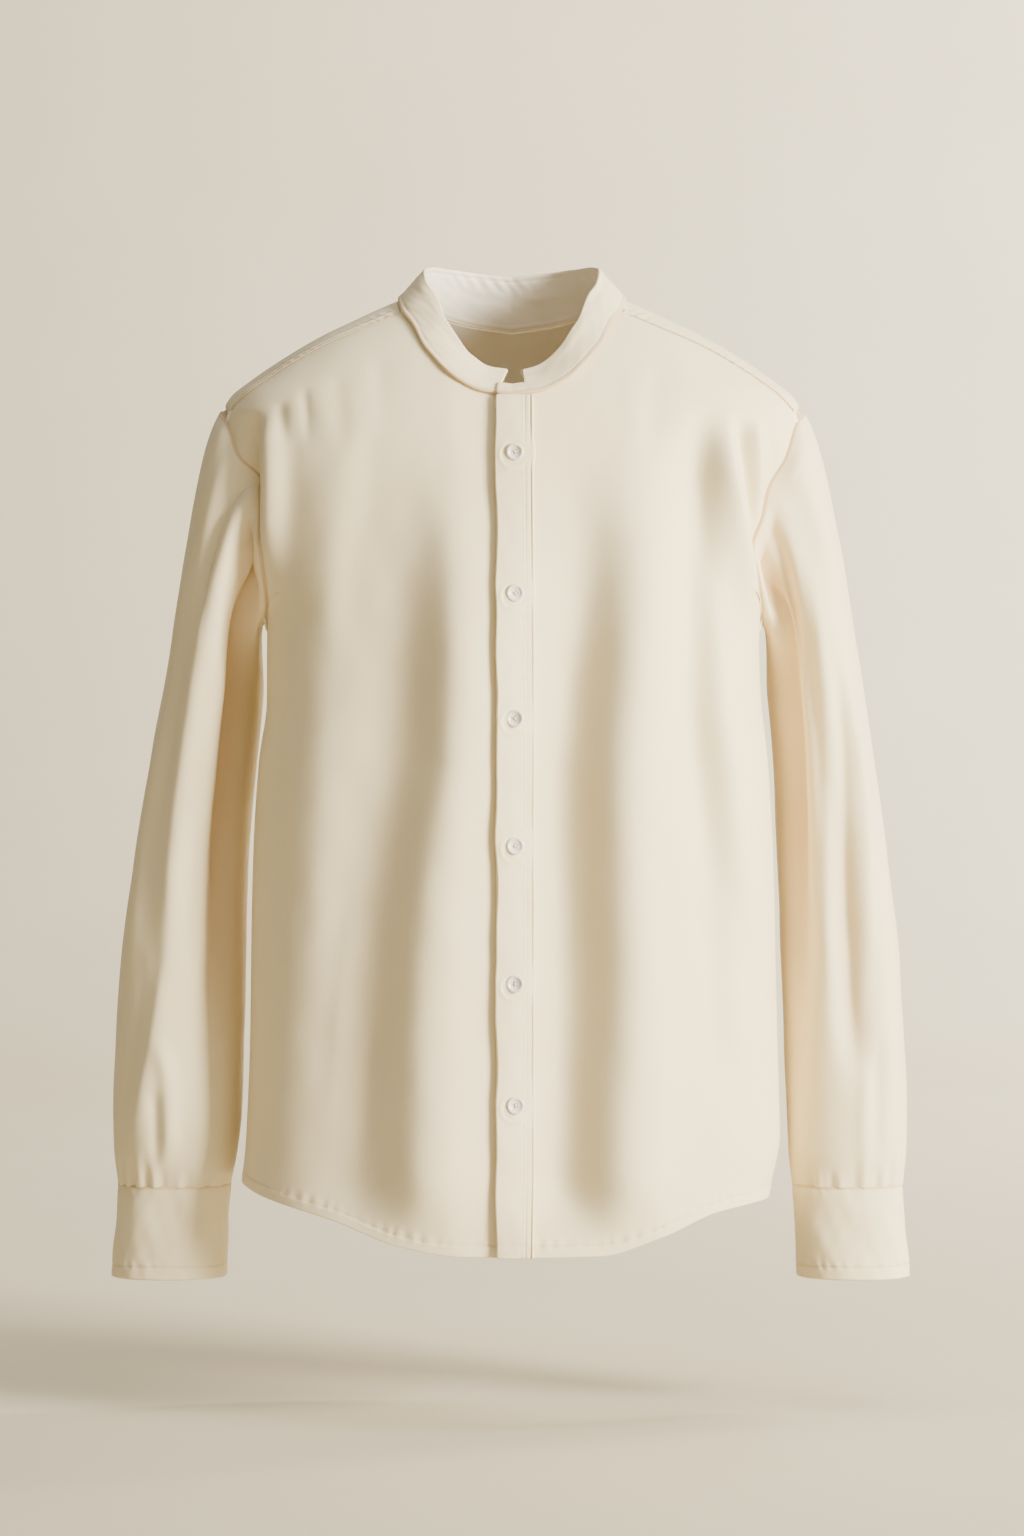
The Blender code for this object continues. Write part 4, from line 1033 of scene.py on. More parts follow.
def buildCollar():
    neckTurn = math.radians(form["neckSeamTurn"])
    start = turnAt(np.array(collar["end"]), collar["endHeight"])
    finish = turnAt(np.array(form["placketLeft"]), neckline["z"][0])
    right = start + spaced(collar["frontColumns"], (0.0, 0.05, 1.5)) * (-neckTurn - start)
    roundBack = np.linspace(-neckTurn, neckTurn - 2 * math.pi, collar["backColumns"])[1:-1]
    leftShare = spaced(collar["frontColumns"] + collar["moreColumns"], (0.78, 0.02, 14.0), (0.9, 0.08, 2.0))
    turns = np.concatenate([right, roundBack, neckTurn + leftShare * (finish - neckTurn)])
    under, onLeft = np.arange(len(turns)) < len(right), np.arange(len(turns)) >= len(turns) - len(leftShare)
    x = bandSurface(turns, under, 0.0)[:, 0]
    tab = 1 - ramp(x, collar["tabFrom"] - collar["tabEase"], collar["tabFrom"] + collar["tabEase"])
    top = 1 - np.where(onLeft, tab, 0) * (1 - collar["tabShare"])
    lean = np.where(under, 1 - ramp(-x, -collar["end"], collar["endLeanOver"]), 0)
    rows = []
    for share in spaced(collar["rows"], (0.0, 0.12, 1.0), (1.0, 0.10, 1.5)):
        row = bandSurface(turns, under, share * top)
        row[:, 0] += collar["endLean"] * share * lean
        rows.append(row)
    points = facedOut(np.array(rows), collar["middle"])
    length, height = reach(points, 1), np.linalg.norm(points - points[:1], axis=-1)
    rise, easesFrom = collar["footRise"]
    lift = unevenness(length * 1.5, height * 3, collar["unevenness"]) + ridge(height, *collar["stitchGroove"])
    lift = lift + rise * (1 - ramp(height, easesFrom, collar["stitchUp"]))
    lift = lift + ridge(height, *collar["ripple"]) * np.sin(length * collar["ripplePace"])
    points = raisedBy(points, lift)
    fromTop, pace = reach(points, 0, True), 2 * math.pi / collar["gatherPitch"]
    gathers = np.sin(length * pace + 1.6 * np.sin(length * 71)) * np.sin(length * 33 + 1.0)
    inner = gathers * ridge(fromTop, *collar["gathers"]) + ridge(fromTop, *collar["rim"])
    # painted shade at the band's foot and along its stitching
    hollow = seamPaintedShade(height) + stitchPaintedShade(height - collar["stitchUp"])
    addStitches("collar", inset(points, 0, collar["stitchUp"]), 4)
    return shell("collar_band_cloth", points, collar["wall"], hollow=hollow, innerLift=inner, paintedLitInside=1.0)


# Sleeves and cuffs
sleeve = {
    "rings": 210,
    "around": 176,
    "wall": 0.0010,
    "top": -0.300,
    "end": -0.6806,
    "unevenness": 0.0006,
    "capShare": 0.36,
    "headEase": 0.012,
    "tuckRows": 4,
    "tuckIn": 0.006,
    "tuckUnder": 0.0028,
    # strength and depth of the painted shade in the sleeve's creases
    "hollow": 0.75,
    "hollowDepth": 0.018,
    "gather": 0.0011,
    "gatherApart": 9,
}
sideName = {1: "left", -1: "right"}
sleeveSections = table(
    "z out_left in_left out_right in_right depth centre",
    (-0.300, 0.2765, 0.2010, 0.2745, 0.1955, 0.138, 0.028),
    (-0.360, 0.2855, 0.2055, 0.2855, 0.2010, 0.131, 0.026),
    (-0.420, 0.2935, 0.2080, 0.2950, 0.2065, 0.124, 0.023),
    (-0.500, 0.3030, 0.2110, 0.3060, 0.2085, 0.116, 0.018),
    (-0.570, 0.3065, 0.2130, 0.3105, 0.2095, 0.109, 0.012),
    (-0.620, 0.3085, 0.2145, 0.3115, 0.2110, 0.101, 0.008),
    (-0.655, 0.3075, 0.2155, 0.3105, 0.2140, 0.088, 0.004),
    (-0.6806, 0.3045, 0.2185, 0.3070, 0.2190, 0.072, 0.002),
)
sleeveStart = table(
    "angle out forward down reach",
    (0, 0.50, 0.00, 0.87, 0.40),
    (45, 0.80, 0.30, 0.45, 0.45),
    (90, 0.95, 0.25, 0.20, 0.55),
    (135, 0.95, 0.15, 0.20, 0.60),
    (180, 0.80, 0.00, 0.60, 0.50),
)
sleeveFolds = table(
    "left angleTop angleLow zTop zLow half rise",
    (1, 105, 80, -0.200, -0.620, 15, -0.0050),
    (1, 60, 45, -0.250, -0.640, 14, 0.0030),
    (0, 42, 38, -0.160, -0.560, 12, 0.0030),
    (0, 130, 118, -0.240, -0.640, 15, -0.0040),
    (1, 262, 250, -0.260, -0.600, 16, -0.0040),
    (0, 258, 270, -0.260, -0.600, 16, -0.0040),
)
# Creases as on the body, with the angle round the sleeve (0 outside, 90 front) in place of x, for each side
sleeveCreases = {
    -1: [
        (14, 5.0, 0.2, 0.15, 0.25, (84, -105), (82, -180), (76, -260), (78, -400), (84, -500), (88, -545)),
        (10, 2.6, 0.3, 0.30, 0.30, (84, -480), (74, -560), (60, -620), (52, -668)),
        (8, -1.2, 0.0, 0.30, 0.30, (62, -500), (54, -560), (40, -620), (34, -665)),
        (9, -6.0, 0.0, 0.12, 0.30, (106, -108), (108, -160), (106, -230), (108, -300)),
        (7, 2.4, 0.0, 0.25, 0.35, (78, -560), (86, -600), (88, -640), (84, -672)),
        (6, -1.8, 0.0, 0.25, 0.35, (74, -600), (78, -640), (76, -676)),
        (10, 1.6, 0.0, 0.30, 0.35, (46, -300), (40, -400), (44, -520)),
        (9, -1.6, 0.0, 0.30, 0.35, (98, -380), (96, -460), (101, -520)),
        (22, -19.0, 0.0, 0.14, 0.50, (136, -110), (134, -190), (136, -300), (140, -420), (142, -640)),
        (12, 3.0, 0.0, 0.20, 0.35, (272, -110), (268, -220), (262, -330)),
        (10, -3.0, 0.0, 0.25, 0.35, (240, -300), (246, -420), (262, -560)),
        (9, 2.0, 0.0, 0.25, 0.35, (292, -380), (286, -500), (290, -640)),
        (8, -1.8, 0.0, 0.25, 0.35, (20, -420), (14, -520), (18, -640)),
    ],
    1: [
        (9, -4.5, 0.1, 0.20, 0.25, (66, -250), (70, -330), (78, -400), (86, -480), (88, -560), (86, -620)),
        (8, 2.6, 0.0, 0.20, 0.30, (84, -200), (88, -300), (96, -400), (104, -500), (106, -580)),
        (8, 2.6, 0.0, 0.25, 0.30, (52, -300), (56, -380), (66, -460), (70, -540)),
        (8, -6.0, 0.0, 0.12, 0.35, (98, -100), (106, -150), (112, -220), (118, -300)),
        (14, 3.0, 0.0, 0.15, 0.40, (64, -90), (60, -160), (54, -240)),
        (7, -1.8, 0.0, 0.25, 0.35, (60, -560), (66, -610), (64, -670)),
        (7, 1.8, 0.0, 0.25, 0.35, (76, -580), (80, -630), (78, -674)),
        (9, 1.6, 0.0, 0.30, 0.35, (30, -380), (34, -480), (30, -600)),
        (20, -15.0, 0.0, 0.14, 0.50, (138, -110), (138, -190), (138, -300), (142, -420), (144, -640)),
        (12, 3.0, 0.0, 0.20, 0.35, (270, -110), (266, -220), (260, -330)),
        (10, -3.0, 0.0, 0.25, 0.35, (244, -300), (250, -420), (260, -560)),
        (9, 2.0, 0.0, 0.25, 0.35, (290, -360), (284, -500), (290, -640)),
    ],
}
cuffGathers = table(
    "side angle width height",
    (-1, 22, 4.0, 34),
    (-1, 40, 3.5, 26),
    (-1, 58, 4.5, 40),
    (-1, 74, 3.5, 24),
    (-1, 96, 3.5, 18),
    (-1, 118, 4.0, 22),
    (-1, 300, 4.0, 30),
    (-1, 320, 4.0, 36),
    (-1, 344, 4.5, 30),
    (1, 18, 4.0, 30),
    (1, 38, 4.0, 36),
    (1, 56, 3.5, 24),
    (1, 78, 4.0, 32),
    (1, 99, 3.5, 20),
    (1, 122, 4.0, 22),
    (1, 296, 4.0, 32),
    (1, 322, 4.0, 30),
    (1, 342, 4.5, 36),
)


def sleeveRing(angle, z, side):
    columns = ("out_" + sideName[side], "in_" + sideName[side], "depth", "centre")
    outer, inner, depth, centre = (read(sleeveSections, z, name) for name in columns)
    a, exponent = np.radians(angle), 2 / form["sleeveRoundness"]
    across = power(np.cos(a), exponent) * (outer - inner) / 2 + (outer + inner) / 2
    return np.stack([side * across, centre - power(np.sin(a), exponent) * (depth / 2), z + 0 * a], -1)


def sleeveFold(points, angle, side):
    z = points[..., 2]
    total = 0 * z
    for left, angleTop, angleLow, zTop, zLow, half, rise in zip(*sleeveFolds.values()):
        if (left == 1) == (side > 0):
            along = np.clip((zTop - z) / (zTop - zLow), 0, 1)
            away = angle - (angleTop + (angleLow - angleTop) * along)
            total = total + rise * bell(away, half) * heightFade(z, zTop, zLow)
    total = total + creaseLift((angle + 0 * z) / 1000, z, sleeveCreases[side])
    for which, middle, width, height in zip(*cuffGathers.values()):
        if which == side:
            fade = sleeve["gather"] * (1 - ramp(z, sleeve["end"], sleeve["end"] + height / 1000))
            away = angle - middle
            total = total + (bell(away, width) - bell(away - sleeve["gatherApart"], width)) * fade
    a = np.radians(angle)
    return total + unevenness(0.06 * np.cos(a) + 0.2 * side, z + 0.05 * np.sin(a), sleeve["unevenness"])


def sleevePoints(side):  # the head leaves the armhole on its own curve and settles into the hanging tube
    angle = np.arange(sleeve["around"]) * 360 / sleeve["around"]
    angle = angle - 3 * np.sin(np.radians(2 * angle - 180))
    folded = np.where(angle > 180, 360 - angle, angle)
    station = folded / 180
    ring = np.where((angle <= 180)[:, None], armhole(station, side, False), armhole(station, side, True))
    normal = surfaceNormal(*ring.T)
    start = bodySurface(*ring.T) + normal * (form["gap"] + form["wall"])
    ways = ("out", "forward", "down", "reach")
    out, forward, down, pull = (read(sleeveStart, folded, name) for name in ways)
    leave = np.stack([side * out, -np.where(angle > 180, -forward, forward), -down], -1)
    leave /= np.linalg.norm(leave, axis=-1, keepdims=True)
    settle, below = sleeveRing(angle, sleeve["top"], side), sleeveRing(angle, sleeve["top"] - 0.005, side)
    fall = (below - settle) / np.linalg.norm(below - settle, axis=-1, keepdims=True)
    length = np.linalg.norm(settle - start, axis=-1)[:, None]
    capRings = int(sleeve["rings"] * sleeve["capShare"])
    t = (spaced(capRings, (0.0, 0.03, 3.0)) ** 1.05)[:, None, None]
    cap = (2 * t**3 - 3 * t**2 + 1) * start + (t**3 - 2 * t**2 + t) * leave * length * pull[:, None]
    cap = cap + (3 * t**2 - 2 * t**3) * settle + (t**3 - t**2) * fall * length
    share = spaced(sleeve["rings"] - capRings + 1, (1.0, 0.04, 1.5))[1:]
    tube = [sleeveRing(angle, z, side) for z in sleeve["top"] + share * (sleeve["end"] - sleeve["top"])]
    points = np.concatenate([cap, tube])
    out = gridNormals(points, True) * side
    lift = sleeveFold(points, angle, side) * ramp(reach(points, 0), 0.0, sleeve["headEase"])
    more = sleeve["tuckRows"]  # rows that start beneath the body's cloth
    inward = -leave * (1, 1, 0.6) * sleeve["tuckIn"] * np.linspace(1, 0.25, more)[:, None, None]
    tucked = start + inward - normal * sleeve["tuckUnder"] * np.linspace(1, 0.6, more)[:, None, None]
    out, lift = (np.concatenate([part[:1].repeat(more, 0), part]) for part in (out, lift))
    return np.concatenate([tucked, points]) + lift[..., None] * out, lift


def buildSleeve(side):
    points, lift = (part[:, ::side] for part in sleevePoints(side))
    head = reach(points, 0)
    # painted shade in the sleeve's deep creases and along its head seam
    hollow = np.clip(-lift / sleeve["hollowDepth"], 0, 1) * sleeve["hollow"]
    hollow = hollow + seamPaintedShade(head - head[sleeve["tuckRows"]])
    return shell(f"sleeve_{sideName[side]}_cloth", points, sleeve["wall"], closed=True, hollow=hollow)


sleevePlacket = {
    "from": 269.25,
    "to": 294.75,
    "top": -0.4903,
    "columns": 22,
    "rows": 120,
    "sideStitch": 0.0020,
    "topStitch": 0.0030,
}


def buildSleevePlacket(side):
    strip = sleevePlacket
    around = np.linspace(strip["from"], strip["to"], strip["columns"])
    heights = np.linspace(strip["top"], sleeve["end"] - 2 * form["gap"], strip["rows"])
    flat = np.array([sleeveRing(around, z, side) for z in heights])
    rise = sleeveFold(flat, around, side) + form["gap"] + form["doubleWall"] + placket["clear"]
    raised = flat + rise[..., None] * (gridNormals(flat) * side)
    raised = facedOut(raised, raised.mean((0, 1)) + np.array([0, -0.05, 0]))
    for fromEnd in (False, True):
        raised = sewn(raised, 1, fromEnd, [strip["sideStitch"]], groove=0.0003, pucker=0.0001, phase=0.3)
    for fromEnd in (False, True):
        addStitches("sleeves", inset(raised, 1, strip["sideStitch"], fromEnd), 2)
    addStitches("sleeves", inset(raised, 0, strip["topStitch"]), 2)
    return shell(f"sleeve_placket_{sideName[side]}_cloth", raised, placket["wall"])


cuff = {
    "top": -0.6811,
    "bottom": -0.7515,
    "halfDepth": 0.036,
    "lap": math.radians(34),
    "start": math.radians(78),
    "columns": 230,
    "rows": 44,
    "wall": 0.0024,
    "flare": 0.003,
    "lowStitch": 0.0088,
    "topStitch": 0.0020,
    "corner": 0.009,
    "cornerSlope": 0.04,
    "middleY": 0.002,
    "unevenness": 0.0006,
    "ripple": (0.0007, 0.025, 0.03),
    "ripplePaces": (96, 60),
    "lapEase": (2 * math.pi - 1.1, 2 * math.pi - 0.25),
}


def buildCuff(side):
    outer, inner = (sleeveSections[edge + sideName[side]][-1] for edge in ("out_", "in_"))
    turn, corner = 2 * math.pi + cuff["lap"], cuff["corner"]
    share = spaced(cuff["columns"], (0.0, 0.02, 2.0), (1.0, 0.02, 2.0))
    angles = cuff["start"] + share * turn
    over = form["doubleWall"] + form["gap"] + placket["clear"]
    lap = over * ramp(angles - cuff["start"], *cuff["lapEase"])
    exponent, rows = 2 / form["sleeveRoundness"], []
    ends = np.minimum(share, 1 - share) * turn * cuff["cornerSlope"]
    trim = corner - np.sqrt(np.clip(corner**2 - np.clip(corner - ends, 0, None) ** 2, 0, None))
    for s in spaced(cuff["rows"], (0.0, 0.05, 1.5), (0.87, 0.03, 2.0), (1.0, 0.05, 1.5)):
        flare = cuff["flare"] * s
        halfWidth = (outer - inner) / 2 + flare / 3 + lap
        x = side * ((outer + inner) / 2 + 1.5 * flare + power(np.cos(angles), exponent) * halfWidth)
        y = cuff["middleY"] + power(np.sin(angles), exponent) * (cuff["halfDepth"] + lap)
        z = cuff["top"] + s * (cuff["bottom"] - cuff["top"])
        rows.append(np.stack([x, y, z + 0 * angles + trim * s**3], -1))
    points = facedOut(np.array(rows), ((outer + inner) / 2 * side, cuff["middleY"], 0))
    length, down = reach(points, 1), reach(points, 0)
    across, along = cuff["ripplePaces"]
    ripple = np.sin(length * across + 2.0 * side) * np.sin(down * along) * ridge(down, *cuff["ripple"])
    lift = unevenness(length * 2.2, down * 2.0 + side, cuff["unevenness"]) + ripple
    points = raisedBy(points, lift)
    rows = [cuff["lowStitch"]]
    points = sewn(points, 0, True, rows, groove=0.0005, pucker=0.00040, phase=0.9 + side, pitch=0.009)
    points = sewn(points, 0, False, [cuff["topStitch"]], groove=0.0003, pucker=0.00015, phase=0.2)
    # painted shade along the low stitching and at the top seam
    hollow = stitchPaintedShade(reach(points, 0, True) - cuff["lowStitch"]) + seamPaintedShade(down)
    addStitches("cuffs", inset(points, 0, cuff["lowStitch"], True), 6)
    addStitches("cuffs", inset(points, 0, cuff["topStitch"]), 6)
    return shell(f"cuff_{sideName[side]}_cloth", points, cuff["wall"], hollow=hollow)


# Stitches, one small thread loop repeated along every line
def stitchTree():
    tree = bpy.data.node_groups.new("stitches along lines", "GeometryNodeTree")
    face = tree.interface
    face.new_socket("Geometry", in_out="INPUT", socket_type="NodeSocketGeometry")
    kinds = {"Pitch": "Float", "Length": "Float", "Thickness": "Float", "Seed": "Int", "Thread": "Material"}
    for label, kind in kinds.items():
        face.new_socket(label, in_out="INPUT", socket_type="NodeSocket" + kind)
    face.new_socket("Geometry", in_out="OUTPUT", socket_type="NodeSocketGeometry")
    entry = addNode(tree, "NodeGroupInput")
    given = {s.name: Wire(tree, s) for s in entry.socket.node.outputs}
    curve = addNode(tree, "GeometryNodeMeshToCurve", None, {"Mesh": given["Geometry"]})
    pace = {"Curve": curve, "Length": given["Pitch"]}
    evenly = addNode(tree, "GeometryNodeResampleCurve", {"mode": "LENGTH"}, pace)
    along = addNode(tree, "GeometryNodeInputTangent")
    turned = addNode(tree, "FunctionNodeAlignRotationToVector", {"axis": "X"}, {"Vector": along})
    loop = addNode(tree, "GeometryNodeMeshUVSphere", None, {"Segments": 6, "Rings": 4, "Radius": 0.5})
    limits = {"Min": 0.88, "Max": 1.08, "Seed": given["Seed"]}
    shaken = addNode(tree, "FunctionNodeRandomValue", {"data_type": "FLOAT"}, limits, 1)
    sizes = {0: given["Length"] * shaken, 1: given["Thickness"], 2: given["Thickness"]}
    size = addNode(tree, "ShaderNodeCombineXYZ", None, sizes)
    each = {"Points": evenly, "Instance": loop, "Rotation": turned, "Scale": size}
    placed = addNode(tree, "GeometryNodeInstanceOnPoints", None, each)
    solid = addNode(tree, "GeometryNodeRealizeInstances", None, {"Geometry": placed})
    finish = {"Geometry": solid, "Material": given["Thread"]}
    coloured = addNode(tree, "GeometryNodeSetMaterial", None, finish)
    addNode(tree, "NodeGroupOutput", None, {0: coloured})
    return tree


def buildStitches(tree, name, lines):
    edges, count = [], 0
    for line in lines:
        edges += [(count + k, count + k + 1) for k in range(len(line) - 1)]
        count += len(line)
    path = bpy.data.meshes.new(name + "_path")
    path.from_pydata(np.concatenate(lines).tolist(), edges, [])
    holder = addObject(name + "_path", path)
    modifier = holder.modifiers.new("stitches", "NODES")
    modifier.node_group = tree
    given = {s.name: s.identifier for s in tree.interface.items_tree if s.in_out == "INPUT"}
    for label in ("Pitch", "Length", "Thickness", "Seed"):
        modifier[given[label]] = stitching[label.lower()]
    modifier[given["Thread"]] = finishes["thread"]
    mesh = bpy.data.meshes.new_from_object(holder.evaluated_get(bpy.context.evaluated_depsgraph_get()))
    mesh.name = name
    mesh.shade_smooth()
    bpy.data.objects.remove(holder)
    return addObject(name, mesh)


# Buttons
button = {
    "segments": 48,
    "profileRadius": 0.0065,
    "profile": (
        (0.0, 1.30), (0.10, 1.30), (0.20, 1.31), (0.30, 1.33), (0.40, 1.38), (0.52, 1.50), (0.60, 1.85),
        (0.68, 2.25), (0.76, 2.50), (0.84, 2.58), (0.92, 2.42), (0.98, 2.05), (1.0, 1.60), (0.985, 1.1),
        (0.93, 0.6), (0.82, 0.25), (0.0, 0.10),
    ),
    "dishEnd": 0.5,
    "holeCircle": 0.2125,
    "holeEdge": (0.06325, 0.138),
    "holeDepth": 0.0010,
    "topFrom": 0.0008,
    "threadRadius": 0.00022,
    "threadHeight": 0.00135,
    "threadArch": 0.00030,
    "threadDive": 0.0009,
    "crossOver": 0.00018,
    "frontRadius": 0.0067,
    "frontLift": 0.0006,
    "frontTilt": (0.10, 0.06),
    "cuffRadius": 0.0057,
    "cuffBack": 0.0018,
}


def latheMesh(profile, segments):  # points (radius, height) turned about Z, closed at both ends
    turns = np.linspace(0, 2 * math.pi, segments, endpoint=False)
    rings = [np.stack([r * np.cos(turns), r * np.sin(turns), 0 * turns + h], -1) for r, h in profile[1:-1]]
    vertices = np.concatenate([[[0, 0, profile[0][1]]], *rings, [[0, 0, profile[-1][1]]]])
    faces, last = [], len(vertices) - 1
    for k in range(segments):
        n = (k + 1) % segments
        faces.append((0, 1 + k, 1 + n))
        for ring in range(len(rings) - 1):
            a = 1 + ring * segments
            faces.append((a + k, a + segments + k, a + segments + n, a + n))
        a = 1 + (len(rings) - 1) * segments
        faces.append((a + n, a + k, last))
    return vertices, faces


def tubeMesh(line, radius, sides=8):
    line = np.array(line, float)
    along = np.gradient(line, axis=0)
    along /= np.linalg.norm(along, axis=1, keepdims=True)
    helper = np.array([0.3, 0.2, 1.0]) if abs(along[0, 2]) < 0.9 else np.array([1.0, 0.2, 0.1])
    first = np.cross(along, helper)
    first /= np.linalg.norm(first, axis=1, keepdims=True)
    second = np.cross(along, first)
    a = np.linspace(0, 2 * math.pi, sides, endpoint=False)
    spokes = np.cos(a)[None, :, None] * first[:, None] + np.sin(a)[None, :, None] * second[:, None]
    rings = line[:, None] + radius * spokes
    vertices = np.concatenate([rings.reshape(-1, 3), line[:1], line[-1:]])
    faces, count = [], len(line)
    for i in range(count - 1):
        for k in range(sides):
            n = (k + 1) % sides
            faces.append((i * sides + k, i * sides + n, (i + 1) * sides + n, (i + 1) * sides + k))
    for k in range(sides):
        n = (k + 1) % sides
        faces.append((n, k, count * sides))
        faces.append(((count - 1) * sides + k, (count - 1) * sides + n, count * sides + 1))
    return vertices, faces


def buttonShape(radius):
    rim = [point for point in button["profile"] if point[0] > button["dishEnd"]]
    fine = np.linspace(0, button["dishEnd"], 22)
    dish = [(r, float(np.interp(r, *zip(*button["profile"][:7])))) for r in fine]
    scale = radius / button["profileRadius"] / 1000
    profile = [(r * radius, h * scale) for r, h in dish + rim + [button["profile"][-1]]]
    vertices, faces = latheMesh(profile, button["segments"])
    for angle in (45, 135, 225, 315):
        a = math.radians(angle)
        hole = np.array([math.cos(a), math.sin(a)]) * button["holeCircle"] * radius
        apart = np.linalg.norm(vertices[:, :2] - hole, axis=1) / radius
        sink = button["holeDepth"] * (1 - ramp(apart, *button["holeEdge"]))
        vertices[:, 2] -= np.where(vertices[:, 2] > button["topFrom"], sink, 0)
    return vertices, faces


def threadCross(radius):  # three threads each way from hole to hole, one way over the other
    t = np.linspace(-1, 1, 9)
    arch = button["threadArch"] * (1 - t**4) - button["threadDive"] * np.abs(t) ** 8
    level = button["threadHeight"] * radius / button["profileRadius"]
    for angle, over in ((45, 0.0), (135, button["crossOver"])):
        along = np.array([math.cos(math.radians(angle)), math.sin(math.radians(angle)), 0])
        across = np.array([-along[1], along[0], 0]) * button["threadRadius"]
        for shift in (-1, 0, 1):
            line = along * (button["holeCircle"] * radius * t)[:, None] + across * shift
            line[:, 2] = level + arch + over
            yield tubeMesh(line, button["threadRadius"])


def buildButton(name, radius, at, out, spin):
    turned = np.array(Vector(out).to_track_quat("Z", "Y").to_matrix())
    spun = np.array([[math.cos(spin), -math.sin(spin), 0], [math.sin(spin), math.cos(spin), 0], [0, 0, 1]])
    vertices, faces, kinds, count = [], [], [], 0
    for kind, (points, shape) in enumerate([buttonShape(radius), *threadCross(radius)]):
        vertices.append(points @ (turned @ spun).T + np.array(at))
        faces += [tuple(v + count for v in face) for face in shape]
        kinds += [min(kind, 1)] * len(shape)
        count += len(points)
    mesh = bpy.data.meshes.new(name)
    mesh.from_pydata(np.concatenate(vertices).tolist(), [], faces)
    mesh.materials.append(finishes["pearl"])
    mesh.materials.append(finishes["thread"])
    mesh.polygons.foreach_set("material_index", kinds)
    mesh.shade_smooth()
    return addObject(name, mesh)


# Build everything
made = {
    "front_left": buildFront("front_left", 1),
    "front_right": buildFront("front_right", -1),
    "back": buildBack(),
    "yoke": buildYoke(),
}
print("panels ready")
made["placket"], placketPoints = buildPlacket()
placketOut = gridNormals(placketPoints)
made["collar_band"] = buildCollar()
print("placket and collar ready")
for side, name in sideName.items():
    made["sleeve_" + name] = buildSleeve(side)
    made["sleeve_placket_" + name] = buildSleevePlacket(side)
    made["cuff_" + name] = buildCuff(side)
print("sleeves and cuffs ready")
for number in range(1, len(placket["buttonHeights"]) + 1):
    node = f"button_{number}"
    low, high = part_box(node)
    middle = (low + high) / 2
    apart = np.linalg.norm(placketPoints[..., [0, 2]] - (middle.x, middle.z), axis=-1)
    spot = np.unravel_index(apart.argmin(), apart.shape)
    y = placketPoints[spot][1] + placketOut[spot][1] * button["frontLift"]
    sway, nod = button["frontTilt"]
    tilt = (sway * (-1) ** number, -1, nod)
    at = (middle.x, y, middle.z)
    made[node] = buildButton(node + "_pearl", button["frontRadius"], at, tilt, 0.3 * number)
for name in sideName.values():
    node = "cuff_button_" + name
    low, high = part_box(node)
    middle = (low + high) / 2
    at = (middle.x, high.y - button["cuffBack"], middle.z)
    made[node] = buildButton(node + "_pearl", button["cuffRadius"], at, (0, 1, 0), 0.4)
tree = stitchTree()
threads = [buildStitches(tree, name + "_stitches", lines) for name, lines in stitchLines.items()]
print("buttons and stitches ready")

# Each piece's cut before it was sewn: width, length and area in metres, how it is held, what it hangs from
cuts = {
    "yoke": (0.520, 0.330, 0.119, "draped", ()),
    "front_left": (0.310, 0.762, 0.182, "hung", ("yoke",)),
    "front_right": (0.314, 0.757, 0.177, "hung", ("yoke",)),
    "back": (0.562, 0.656, 0.319, "hung", ("yoke",)),
    "placket": (0.0305, 0.656, 0.0200, "hung", ("front_left",)),
    "collar_band": (0.565, 0.043, 0.0186, "hung", ("yoke", "front_left", "front_right")),
    "sleeve_left": (0.446, 0.619, 0.182, "hung", ("yoke", "front_left", "back")),
    "sleeve_right": (0.452, 0.620, 0.186, "hung", ("yoke", "front_right", "back")),
    "sleeve_placket_left": (0.0260, 0.196, 0.0050, "hung", ("sleeve_left",)),
    "sleeve_placket_right": (0.0265, 0.197, 0.0052, "hung", ("sleeve_right",)),
    "cuff_left": (0.300, 0.071, 0.0210, "hung", ("sleeve_left",)),
    "cuff_right": (0.304, 0.071, 0.0213, "hung", ("sleeve_right",)),
}
for node, piece in made.items():
    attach(piece, "root")
    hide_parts(node)
    "button" if "button" in node else "cloth"
for node, (width, length, area, held, above) in cuts.items():
    [made[name] for name in above]
for piece in threads:
    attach(piece, "root")

# Camera, floor and light
studio = {
    "camera": (0, -3.2, -0.357),
    "lens": 96.16,
    "sensor": 36.0,
    "seesTo": 50,
    "sky": 0.23,
    "skyColour": (1.0, 0.98, 0.93, 1),
    "floor": -0.858,
    "halfWidth": 14.0,
    "wallAt": 5.4,
    "wallTop": 5.0,
    "bend": 2.0,
    "bendSteps": 24,
    "paper": ((0.58, 0.512, 0.366), (0.64, 0.567, 0.411)),
}
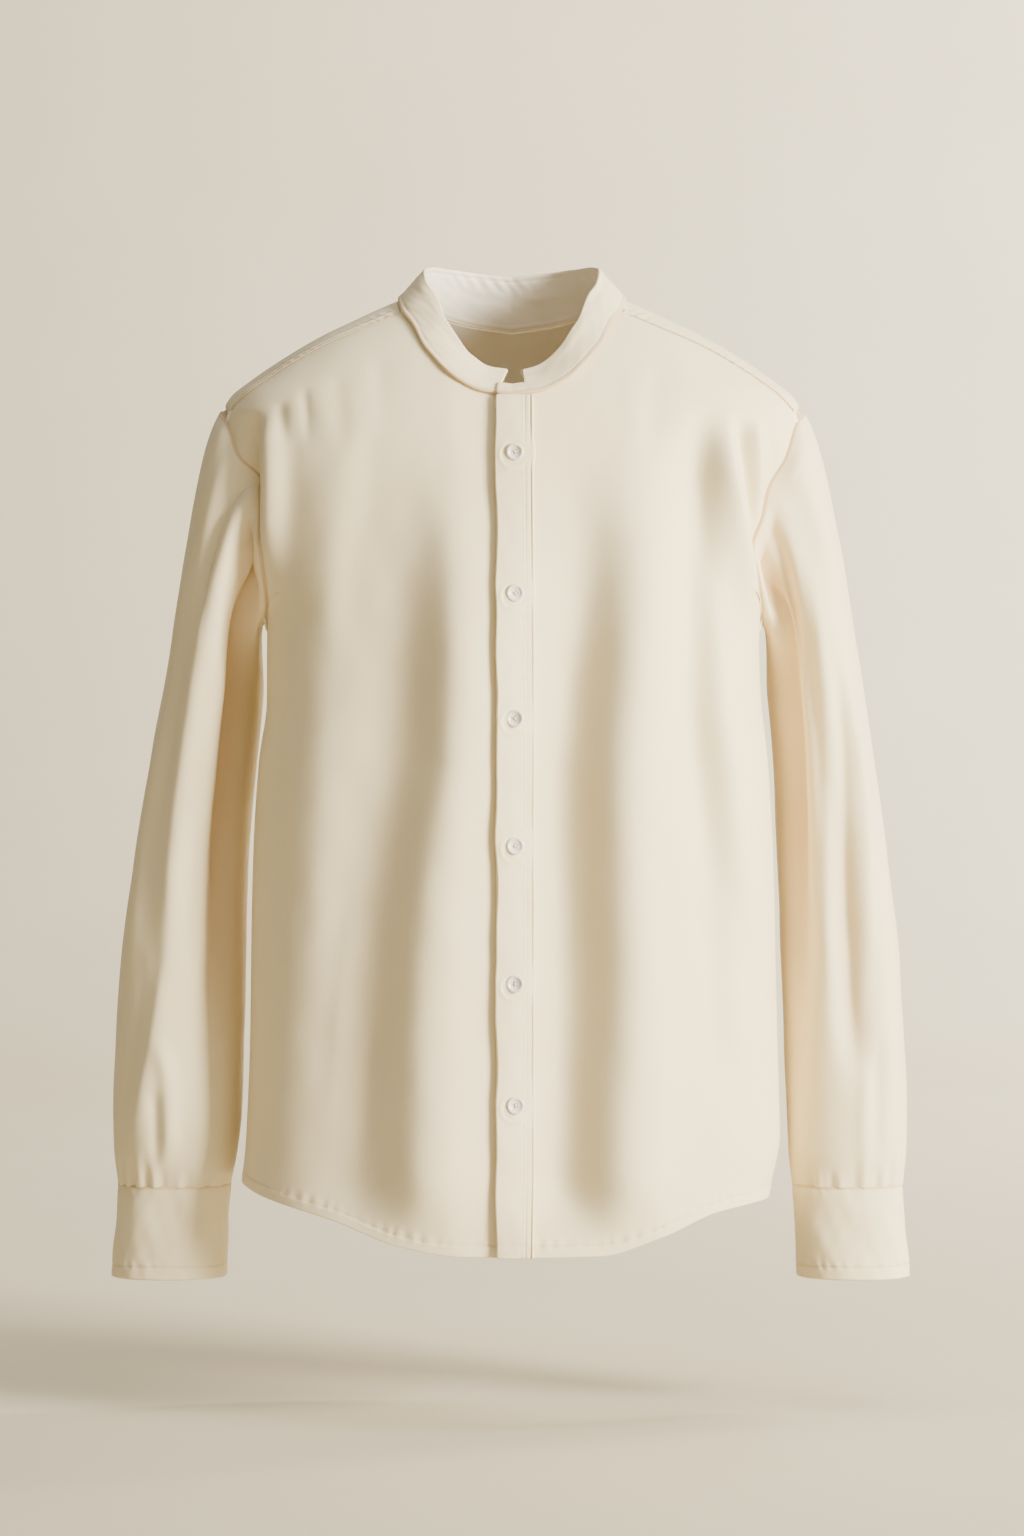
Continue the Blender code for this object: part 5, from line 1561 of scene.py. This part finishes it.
# Each light's place, what it points at, its width and height in metres, its watts and its colour
lights = {
    "key": ((3.35, -2.15, 0.65), (0, 0, -0.30), (1.3, 1.6), 660.0, (1.0, 0.97, 0.89)),
    "top": ((0.7, -1.0, 2.6), (0, 0, -0.4), (1.8, 0.8), 40.0, (1.0, 0.975, 0.94)),
    "wall": ((3.4, 1.6, 2.0), (2.3, 5.4, 0.3), (1.6, 1.6), 800.0, (1.0, 0.98, 0.95)),
    "fill": ((-1.6, -2.8, 0.1), (0, 0, -0.35), (1.6, 1.8), 3.0, (1.0, 0.97, 0.93)),
}
lens = bpy.data.cameras.new("camera")
lens.sensor_fit, lens.sensor_height, lens.lens = "VERTICAL", studio["sensor"], studio["lens"]
lens.clip_end = studio["seesTo"]
camera = addObject("camera", lens)
camera.location = studio["camera"]
camera.rotation_euler = (math.radians(90), 0, 0)
bpy.context.scene.camera = camera
for name, (at, towards, size, watts, colour) in lights.items():
    light = bpy.data.lights.new(name, "AREA")
    light.shape, light.size, light.size_y = "RECTANGLE", *size
    light.energy, light.color = watts, colour
    holder = addObject(name, light)
    holder.location = at
    holder.rotation_euler = (Vector(towards) - Vector(at)).to_track_quat("-Z", "Y").to_euler()
world = bpy.data.worlds.new("studio")
world.use_nodes = True
world.node_tree.nodes["Background"].inputs["Color"].default_value = studio["skyColour"]
world.node_tree.nodes["Background"].inputs["Strength"].default_value = studio["sky"]
bpy.context.scene.world = world


def buildBackdrop():
    floor, wall, bend, half = (studio[name] for name in ("floor", "wallAt", "bend", "halfWidth"))
    line = [(-half, floor)]
    for k in range(studio["bendSteps"] + 1):
        a = math.radians(90) * k / studio["bendSteps"]
        line.append((wall - bend + bend * math.sin(a), floor + bend - bend * math.cos(a)))
    line.append((wall, studio["wallTop"]))
    mesh = bpy.data.meshes.new("backdrop")
    faces = [(2 * k, 2 * k + 1, 2 * k + 3, 2 * k + 2) for k in range(len(line) - 1)]
    mesh.from_pydata([(x, y, z) for y, z in line for x in (-half, half)], [], faces)
    mesh.shade_smooth()
    made, tree, shader = newMaterial("pale paper", {"Roughness": 0.9, "Specular IOR Level": 0.1})
    grain = noise(tree, addNode(tree, "ShaderNodeTexCoord", out=3), 3.0, 4.0)
    tree.links.new(mixed(tree, grain, *studio["paper"]).socket, shader.inputs["Base Color"])
    mesh.materials.append(made)
    addObject("backdrop", mesh)


buildBackdrop()
print("studio ready")
bpy.context.view_layer.update()
